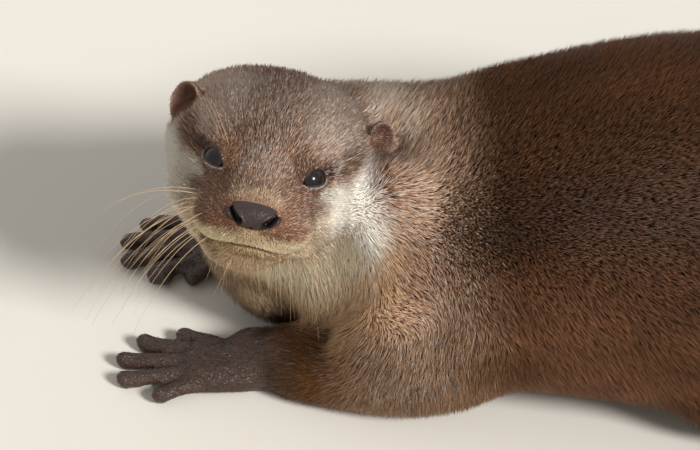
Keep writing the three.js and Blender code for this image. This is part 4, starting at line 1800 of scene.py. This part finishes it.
@dataclass
class Nose:
    """The bare nose pad: broad, blunt and pebbled, with a slanted comma of a nostril on either side."""

    anatomy: Anatomy
    depth: float = 5.9
    half_width: float = 11.0
    half_height: float = 5.4
    nostril_depth: float = 3.6
    nostril_reach: float = 1.7

    def build(self) -> Thing:
        """Makes the pad.

        Formula: an ellipsoid from the front pole to the back one, narrower below by a third, with a shallow
        groove down from its middle. Each nostril is a hollow that follows a slanted line from high outside to
        low inside.

        Returns:
            The piece.
        """
        rows, columns = 90, 120
        polar, angle = round_grid(rows, columns)
        out = self.depth * np.cos(polar) + 0.0 * angle
        circle = np.sin(polar) ** 0.8
        left = self.half_width * circle * np.sign(np.cos(angle)) * np.abs(np.cos(angle)) ** 0.9
        up = self.half_height * circle * np.sin(angle)
        lower = ramp(-up, -1.0, self.half_height)
        left = left * (1.0 - 0.26 * lower)
        groove = np.exp(-((left / 0.7) ** 2)) * ramp(-up, 0.5, 4.0)
        out = out - 0.8 * groove * (out > 0.0)
        side = np.sign(left + 1e-9)
        start, end = np.array([10.2, 3.4]), np.array([5.6, -1.3])
        along = end - start
        past_left, past_up = np.abs(left) - start[0], up - start[1]
        share = np.clip((past_left * along[0] + past_up * along[1]) / (along @ along), 0.0, 1.0)
        distance = np.hypot(past_left - along[0] * share, past_up - along[1] * share)
        opening = np.exp(-((distance / (self.nostril_reach * (0.42 + 0.58 * share))) ** 4)) * (out > -2.5)
        out = out - self.nostril_depth * opening
        left = left - side * 0.5 * opening
        wing = np.exp(-(((distance - 2.4) / 0.8) ** 2)) * (out > -1.0)
        out = out + 0.5 * wing
        places = np.stack([out, left, up], axis=-1).reshape(-1, 3) + self.anatomy.nose
        made = build_object("nose_pad", *closed_grid_arrays(self.anatomy.head.world(places), rows, columns))
        # the nostrils' hollows are painted near black: painted shade in the deep openings
        hollow = ramp(without_pole_rows(opening + 0.0 * angle), 0.3, 0.75)
        tone = mix(np.tile(linear("372b28"), (len(hollow), 1)), linear("050404"), hollow)
        below = ramp(-without_pole_rows(up + 0.0 * angle), 0.0, 4.5)
        tone = mix(tone, linear("20140f"), below * (1.0 - hollow))
        set_colours(made, "coat", tone)
        made.data.materials.append(NoseFinish().material())
        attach(made, "root")
        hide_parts("nose")
        return made


@dataclass
class Whiskers:
    """Stiff pale whiskers in rows on both pads, with short ones on the chin and above the eyes."""

    anatomy: Anatomy
    rows: int = 5
    columns: int = 5
    thickness: float = 0.14  # radius at the root, a little coarser than life so that it shows

    def build(self) -> Thing:
        """Makes every whisker.

        Formula: a whisker leaves its pad outward, the rear rows more backward and the lower ones more
        downward, and sags by the square of the share of its length. Its radius tapers to a third.

        Returns:
            The joined piece.
        """
        rng = np.random.default_rng(SEED + 5)
        head = self.anatomy.head
        t = np.linspace(0.0, 1.0, 15)[:, None]
        shapes = []
        for root, way, length, sag, thickness in self._starts(rng):
            line = head.world(root) + head.turn(unit(way)) * (length * t)
            line = line + np.array([0.0, 0.0, -1.0]) * (sag * t**2)
            line[:, 2] = np.maximum(line[:, 2], 1.0 + 0.3 * rng.random())
            shapes.append(tube(line, thickness * (1.0 - 0.7 * t[:, 0]), 6))
        made = build_object("whiskers", *joined(shapes))
        made.data.materials.append(WhiskerFinish().material())
        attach(made, "root")
        return made

    def _starts(self, rng: np.random.Generator) -> list[tuple[Array, Array, float, float, float]]:
        """Where every whisker starts; those on the left hang lower, shorter and closer.

        Args:
            rng: where the draws come from.

        Returns:
            Root, direction, length, sag and radius of each.
        """
        made = []
        for side in Side:
            for row in range(self.rows):
                for column in range(self.columns):
                    down, back = row / (self.rows - 1), column / (self.columns - 1)
                    root = np.array([42.0 - 11.0 * back, (11.5 + 8.5 * back) * side.value, -8.5 - 8.5 * down])
                    root += rng.normal(0.0, 0.4, 3)
                    way = np.array([0.42 - 0.5 * back, side.value, 0.15 - 0.6 * down])
                    way += rng.normal(0.0, 0.1, 3)
                    length = 36.0 + 14.0 * back + rng.uniform(-8.0, 8.0)
                    thickness = self.thickness
                    if side is Side.LEFT:
                        if (row + column) % 2:
                            continue
                        way = np.array([0.5, 0.6, -0.2 - 0.6 * down]) + rng.normal(0.0, 0.3, 3)
                        length, thickness = length * rng.uniform(0.3, 0.65), thickness * 0.5
                    made.append((root, way, length, length * rng.uniform(0.6, 1.1), thickness))
            for number in range(4):
                root = np.array([38.0 - 3.0 * number, (4.0 + 2.0 * number) * side.value, -27.0])
                way = np.array([0.25, 0.3 * side.value, -1.0]) + rng.normal(0.0, 0.12, 3)
                made.append((root, way, rng.uniform(9.0, 19.0), 2.0, self.thickness * 0.6))
            for number in range(3):
                root = np.array([25.0 - 2.5 * number, (15.0 + 2.0 * number) * side.value, 10.5])
                way = np.array([-0.1, 0.5 * side.value, 1.0]) + rng.normal(0.0, 0.15, 3)
                made.append((root, way, rng.uniform(16.0, 26.0), 4.0, self.thickness * 0.55))
        return made


@dataclass(frozen=True)
class Claws:
    """The small blunt claws that barely pass the digits' tips."""

    tips: tuple[tuple[float, float], ...]  # shares of the foot's box, one for each digit
    length: float = 1.9
    width: float = 0.7

    def build(self, node: str) -> Thing:
        """Makes one foot's claws, each a short peg that curves down and narrows to its end.

        Args:
            node: the foot's name.

        Returns:
            The joined piece.
        """
        palm = spot(node, 0.75, 0.5, 0.5)
        t = np.linspace(0.0, 1.0, 8)[:, None]
        radii = self.width * np.sqrt(np.maximum(1.0 - t[:, 0] ** 2, 0.02)) * 0.9
        shapes = []
        for x, y in self.tips:
            end = spot(node, x, y, 0.28)
            way = unit((end - palm) * np.array([1.0, 1.0, 0.0]))
            line = end + way * (self.length * (t - 0.72)) + np.array([0.0, 0.0, 1.0]) * (2.1 - 1.5 * t**2)
            shapes.append(tube(line, radii, 8))
        made = build_object(f"{node}_claws", *joined(shapes))
        made.data.materials.append(ClawFinish().material())
        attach(made, "root")
        return made


FORE_TIPS = ((0.37, 0.93), (0.12, 0.84), (0.0, 0.58), (0.01, 0.31), (0.24, 0.07))
HIND_TIPS = ((0.29, 0.95), (0.09, 0.82), (0.0, 0.55), (0.05, 0.26), (0.25, 0.03))


# ---- finishes


def add_node(tree: bpy.types.NodeTree, kind: str, settings: dict | None = None,
             links: dict | None = None) -> bpy.types.Node:
    """Adds a shader node.

    Args:
        tree: the material's node tree.
        kind: the node's class name.
        settings: properties by name, and values for sockets by their names.
        links: the output that feeds each input, by the input's name or number.

    Returns:
        The node.
    """
    node = tree.nodes.new(kind)
    for name, value in (settings or {}).items():
        if hasattr(node, name):
            setattr(node, name, value)
        else:
            node.inputs[name].default_value = value
    for name, source in (links or {}).items():
        tree.links.new(source, node.inputs[name])
    return node


def new_material(name: str) -> tuple[Material, bpy.types.NodeTree, bpy.types.Node]:
    """A material with an empty tree, and its output node."""
    made = bpy.data.materials.new(name)
    made.use_nodes = True
    made.node_tree.nodes.clear()
    return made, made.node_tree, add_node(made.node_tree, "ShaderNodeOutputMaterial")


@dataclass(frozen=True)
class CoatFinish:
    """Dry guard hair: to the eye a soft sheen along each shaft over the coat's own browns."""

    roughness: float = 0.42
    specular: float = 0.16

    def material(self) -> Material:
        """Colour from the hair's own attribute, slightly glossy."""
        made, tree, output = new_material("guard_hair")
        colour = add_node(tree, "ShaderNodeAttribute", {"attribute_name": "coat"})
        shader = add_node(
            tree, "ShaderNodeBsdfPrincipled",
            {"Roughness": self.roughness, "Specular IOR Level": self.specular, "IOR": 1.55},
            {"Base Color": colour.outputs["Color"]},
        )
        tree.links.new(shader.outputs[0], output.inputs["Surface"])
        return made


@dataclass(frozen=True)
class SkinFinish:
    """Skin with dense underfur: dull and fine-grained to the eye, on the feet creased and a little greasy."""

    underfur_mm: float = 0.5  # spacing of the underfur's tips
    wrinkle_mm: float = 1.3  # spacing of the creases on the feet

    def material(self) -> Material:
        """Bump and mottling from fine noise all over, and bump from a cell pattern where the skin is bare.

        Returns:
            The material.
        """
        made, tree, output = new_material("skin_with_underfur")
        place = add_node(tree, "ShaderNodeTexCoord").outputs["Object"]
        colour = add_node(tree, "ShaderNodeAttribute", {"attribute_name": "coat"})
        bare = add_node(tree, "ShaderNodeAttribute", {"attribute_name": "bare"})
        fine = add_node(tree, "ShaderNodeTexNoise",
                        {"Scale": 1.0 / (self.underfur_mm * MM), "Detail": 3.0}, {"Vector": place})
        cells = add_node(tree, "ShaderNodeTexVoronoi",
                         {"feature": "DISTANCE_TO_EDGE", "Scale": 1.0 / (self.wrinkle_mm * MM)},
                         {"Vector": place})
        crease = add_node(tree, "ShaderNodeMapRange", {"From Max": 0.2}, {"Value": cells.outputs["Distance"]})
        height = add_node(tree, "ShaderNodeMix", {"data_type": "FLOAT"},
                          {0: bare.outputs["Fac"], 2: fine.outputs["Fac"], 3: crease.outputs["Result"]})
        bump = add_node(tree, "ShaderNodeBump", {"Strength": 0.5, "Distance": 0.0004},
                        {"Height": height.outputs[0]})
        mottle = add_node(tree, "ShaderNodeMapRange", {"To Min": 0.75, "To Max": 1.2},
                          {"Value": fine.outputs["Fac"]})
        tinted = add_node(tree, "ShaderNodeMix", {"data_type": "RGBA", "blend_type": "MULTIPLY"},
                          {6: colour.outputs["Color"], 7: mottle.outputs["Result"]})
        tinted.inputs[0].default_value = 1.0
        gloss = add_node(tree, "ShaderNodeMapRange", {"To Min": 0.75, "To Max": 0.4},
                         {"Value": bare.outputs["Fac"]})
        shader = add_node(
            tree, "ShaderNodeBsdfPrincipled", {"Specular IOR Level": 0.35},
            {"Base Color": tinted.outputs[2], "Roughness": gloss.outputs["Result"],
             "Normal": bump.outputs["Normal"]},
        )
        tree.links.new(shader.outputs[0], output.inputs["Surface"])
        return made


@dataclass(frozen=True)
class NoseFinish:
    """Moist hairless skin in small pebbles, each with a small highlight."""

    pebble_mm: float = 0.75
    roughness: float = 0.4

    def material(self) -> Material:
        """Cells for the pebbles, with colour from the pad's attribute.

        Returns:
            The material.
        """
        made, tree, output = new_material("nose_leather")
        place = add_node(tree, "ShaderNodeTexCoord").outputs["Object"]
        colour = add_node(tree, "ShaderNodeAttribute", {"attribute_name": "coat"})
        pebbles = add_node(tree, "ShaderNodeTexVoronoi",
                           {"feature": "SMOOTH_F1", "Scale": 1.0 / (self.pebble_mm * MM)}, {"Vector": place})
        bump = add_node(tree, "ShaderNodeBump", {"Strength": 0.8, "Distance": 0.0004, "invert": True},
                        {"Height": pebbles.outputs["Distance"]})
        shader = add_node(
            tree, "ShaderNodeBsdfPrincipled",
            {"Roughness": self.roughness, "Specular IOR Level": 0.25,
             "Coat Weight": 0.06, "Coat Roughness": 0.2},
            {"Base Color": colour.outputs["Color"], "Normal": bump.outputs["Normal"]},
        )
        tree.links.new(shader.outputs[0], output.inputs["Surface"])
        return made


@dataclass(frozen=True)
class EyeFinish:
    """A wet eye: very dark brown under a clear film with one sharp highlight."""

    roughness: float = 0.35

    def material(self) -> Material:
        """Colour from the ball's attribute, under a sharp clear coat."""
        made, tree, output = new_material("wet_eye")
        colour = add_node(tree, "ShaderNodeAttribute", {"attribute_name": "coat"})
        shader = add_node(
            tree, "ShaderNodeBsdfPrincipled",
            {"Roughness": self.roughness, "IOR": 1.38, "Specular IOR Level": 0.1,
             "Coat Weight": 0.6, "Coat Roughness": 0.03, "Coat IOR": 1.38},
            {"Base Color": colour.outputs["Color"]},
        )
        tree.links.new(shader.outputs[0], output.inputs["Surface"])
        return made


def plain_material(name: str, colour: str, roughness: float, grain_mm: float, coat: float = 0.0,
                   contrast: float = 0.25) -> Material:
    """A material of one colour that varies slightly with a grain.

    Args:
        name: what the material is.
        colour: sRGB hex.
        roughness: of the surface.
        grain_mm: size of the variation.
        coat: weight of a clear wet film.
        contrast: how far the colour varies to either side, as a share.

    Returns:
        The material.
    """
    made, tree, output = new_material(name)
    place = add_node(tree, "ShaderNodeTexCoord").outputs["Object"]
    grain = add_node(tree, "ShaderNodeTexNoise", {"Scale": 1.0 / (grain_mm * MM), "Detail": 2.0},
                     {"Vector": place})
    ends = add_node(tree, "ShaderNodeValToRGB", {}, {"Fac": grain.outputs["Fac"]})
    for stop, factor in zip(ends.color_ramp.elements, (1.0 - contrast, 1.0 + contrast)):
        stop.color = (*np.clip(linear(colour) * factor, 0.0, 1.0), 1.0)
    shader = add_node(
        tree, "ShaderNodeBsdfPrincipled",
        {"Roughness": roughness, "Coat Weight": coat, "Coat Roughness": 0.1},
        {"Base Color": ends.outputs["Color"]},
    )
    tree.links.new(shader.outputs[0], output.inputs["Surface"])
    return made


@dataclass(frozen=True)
class MarginFinish:
    """The lids' bare edge: black-brown and wet."""

    colour: str = "1d1412"

    def material(self) -> Material:
        """A dark roll that catches a thin wet light."""
        return plain_material("lid_margin", self.colour, 0.3, 1.0, 0.5)


@dataclass(frozen=True)
class WhiskerFinish:
    """Thick keratin bristle, straw-coloured."""

    colour: str = "c9ab86"

    def material(self) -> Material:
        """Smooth straw."""
        return plain_material("whisker_bristle", self.colour, 0.4, 6.0)


@dataclass(frozen=True)
class ClawFinish:
    """Dark horn, polished by wear."""

    colour: str = "4a3c34"

    def material(self) -> Material:
        """Horn with a slight gloss."""
        return plain_material("claw_horn", self.colour, 0.35, 1.5)


# ---- room


@dataclass(frozen=True)
class Room:
    """The pale floor, the soft light and the camera, in metres and degrees."""

    floor: str = "e9e3d8"
    floor_half_mm: float = 4000.0
    elevation: float = 42.0  # of the line of sight
    distance: float = 1.5
    lens_mm: float = 192.9
    sensor_mm: float = 36.0
    sun: float = 3.5
    sun_width: float = 14.0  # the lamp's own breadth, which softens shadows
    sun_from: tuple[float, float, float] = (0.95, -0.9, 0.95)
    fill: float = 0.42

    def build(self) -> None:
        """Lays the floor, hangs the lamp, lights the world and sets the camera."""
        self._floor()
        self._light()
        self._camera()

    def _floor(self) -> None:
        """A plain square of pale stone, far wider than the view."""
        half = self.floor_half_mm
        corners = np.array([[-half, -half, 0.0], [half, -half, 0.0], [half, half, 0.0], [-half, half, 0.0]])
        made = build_object("floor", corners, np.array([[0, 1, 2, 3]]))
        made.data.materials.append(plain_material("pale_stone", self.floor, 0.8, 120.0, contrast=0.03))

    def _light(self) -> None:
        """A broad soft lamp from the otter's left rear, and an even fill that shows white to the camera."""
        lamp = bpy.data.lights.new("key", "SUN")
        lamp.energy = self.sun
        lamp.angle = math.radians(self.sun_width)
        key = bpy.data.objects.new("key", lamp)
        key.rotation_euler = Vector(self.sun_from).to_track_quat("Z", "Y").to_euler()
        bpy.context.scene.collection.objects.link(key)
        world = bpy.data.worlds.new("studio")
        bpy.context.scene.world = world
        world.use_nodes = True
        tree = world.node_tree
        tree.nodes.clear()
        path = add_node(tree, "ShaderNodeLightPath")
        shown = path.outputs["Is Camera Ray"]
        for ray in ("Is Glossy Ray", "Is Transmission Ray"):
            either = add_node(tree, "ShaderNodeMath", {"operation": "MAXIMUM"},
                              {0: shown, 1: path.outputs[ray]})
            shown = either.outputs[0]
        plain = add_node(tree, "ShaderNodeBackground",
                         {"Color": (1.0, 0.99, 0.97, 1.0), "Strength": self.fill})
        white = add_node(tree, "ShaderNodeBackground", {"Color": (1.0, 1.0, 1.0, 1.0), "Strength": 1.0})
        both = add_node(tree, "ShaderNodeMixShader", {},
                        {0: shown, 1: plain.outputs[0], 2: white.outputs[0]})
        output = add_node(tree, "ShaderNodeOutputWorld")
        tree.links.new(both.outputs[0], output.inputs["Surface"])

    def _camera(self) -> None:
        """Looks across the otter from its left, down at the neck, from far off with a long lens."""
        low, high = box_mm("trunk")
        aim = np.array([low[0] - 11.6, 0.2, 55.3]) * MM
        slope = math.radians(self.elevation)
        back = np.array([0.0, -math.cos(slope), math.sin(slope)])
        lens = bpy.data.cameras.new("camera")
        lens.lens = self.lens_mm
        lens.sensor_width = self.sensor_mm
        camera = bpy.data.objects.new("camera", lens)
        camera.location = Vector(aim + back * self.distance)
        camera.rotation_euler = (math.pi / 2.0 - slope, 0.0, 0.0)
        bpy.context.scene.collection.objects.link(camera)
        bpy.context.scene.camera = camera
        bpy.context.scene.view_settings.view_transform = "Standard"


# ---- the whole otter


def report(made: Thing) -> None:
    """Logs a piece's name and how many triangles it has."""
    made.data.calc_loop_triangles()
    LOG.info("%-24s %7d triangles", made.name, len(made.data.loop_triangles))


def main() -> None:
    """Builds the otter and its room."""
    logging.basicConfig(level=logging.INFO, format="%(name)s: %(message)s")
    anatomy = Anatomy()
    markings = Markings(anatomy)
    skin = Skin(anatomy, markings)
    report(skin.build())
    for piece in Coat(skin, anatomy, markings).build():
        report(piece)
    for side in Side:
        for piece in Eye(anatomy, side).build():
            report(piece)
        report(Claws(FORE_TIPS).build(f"{side.word}_forefoot"))
        report(Claws(HIND_TIPS).build(f"{side.word}_hind_foot"))
    report(Nose(anatomy).build())
    report(Whiskers(anatomy).build())
    Room().build()


if __name__ == "__main__":
    main()
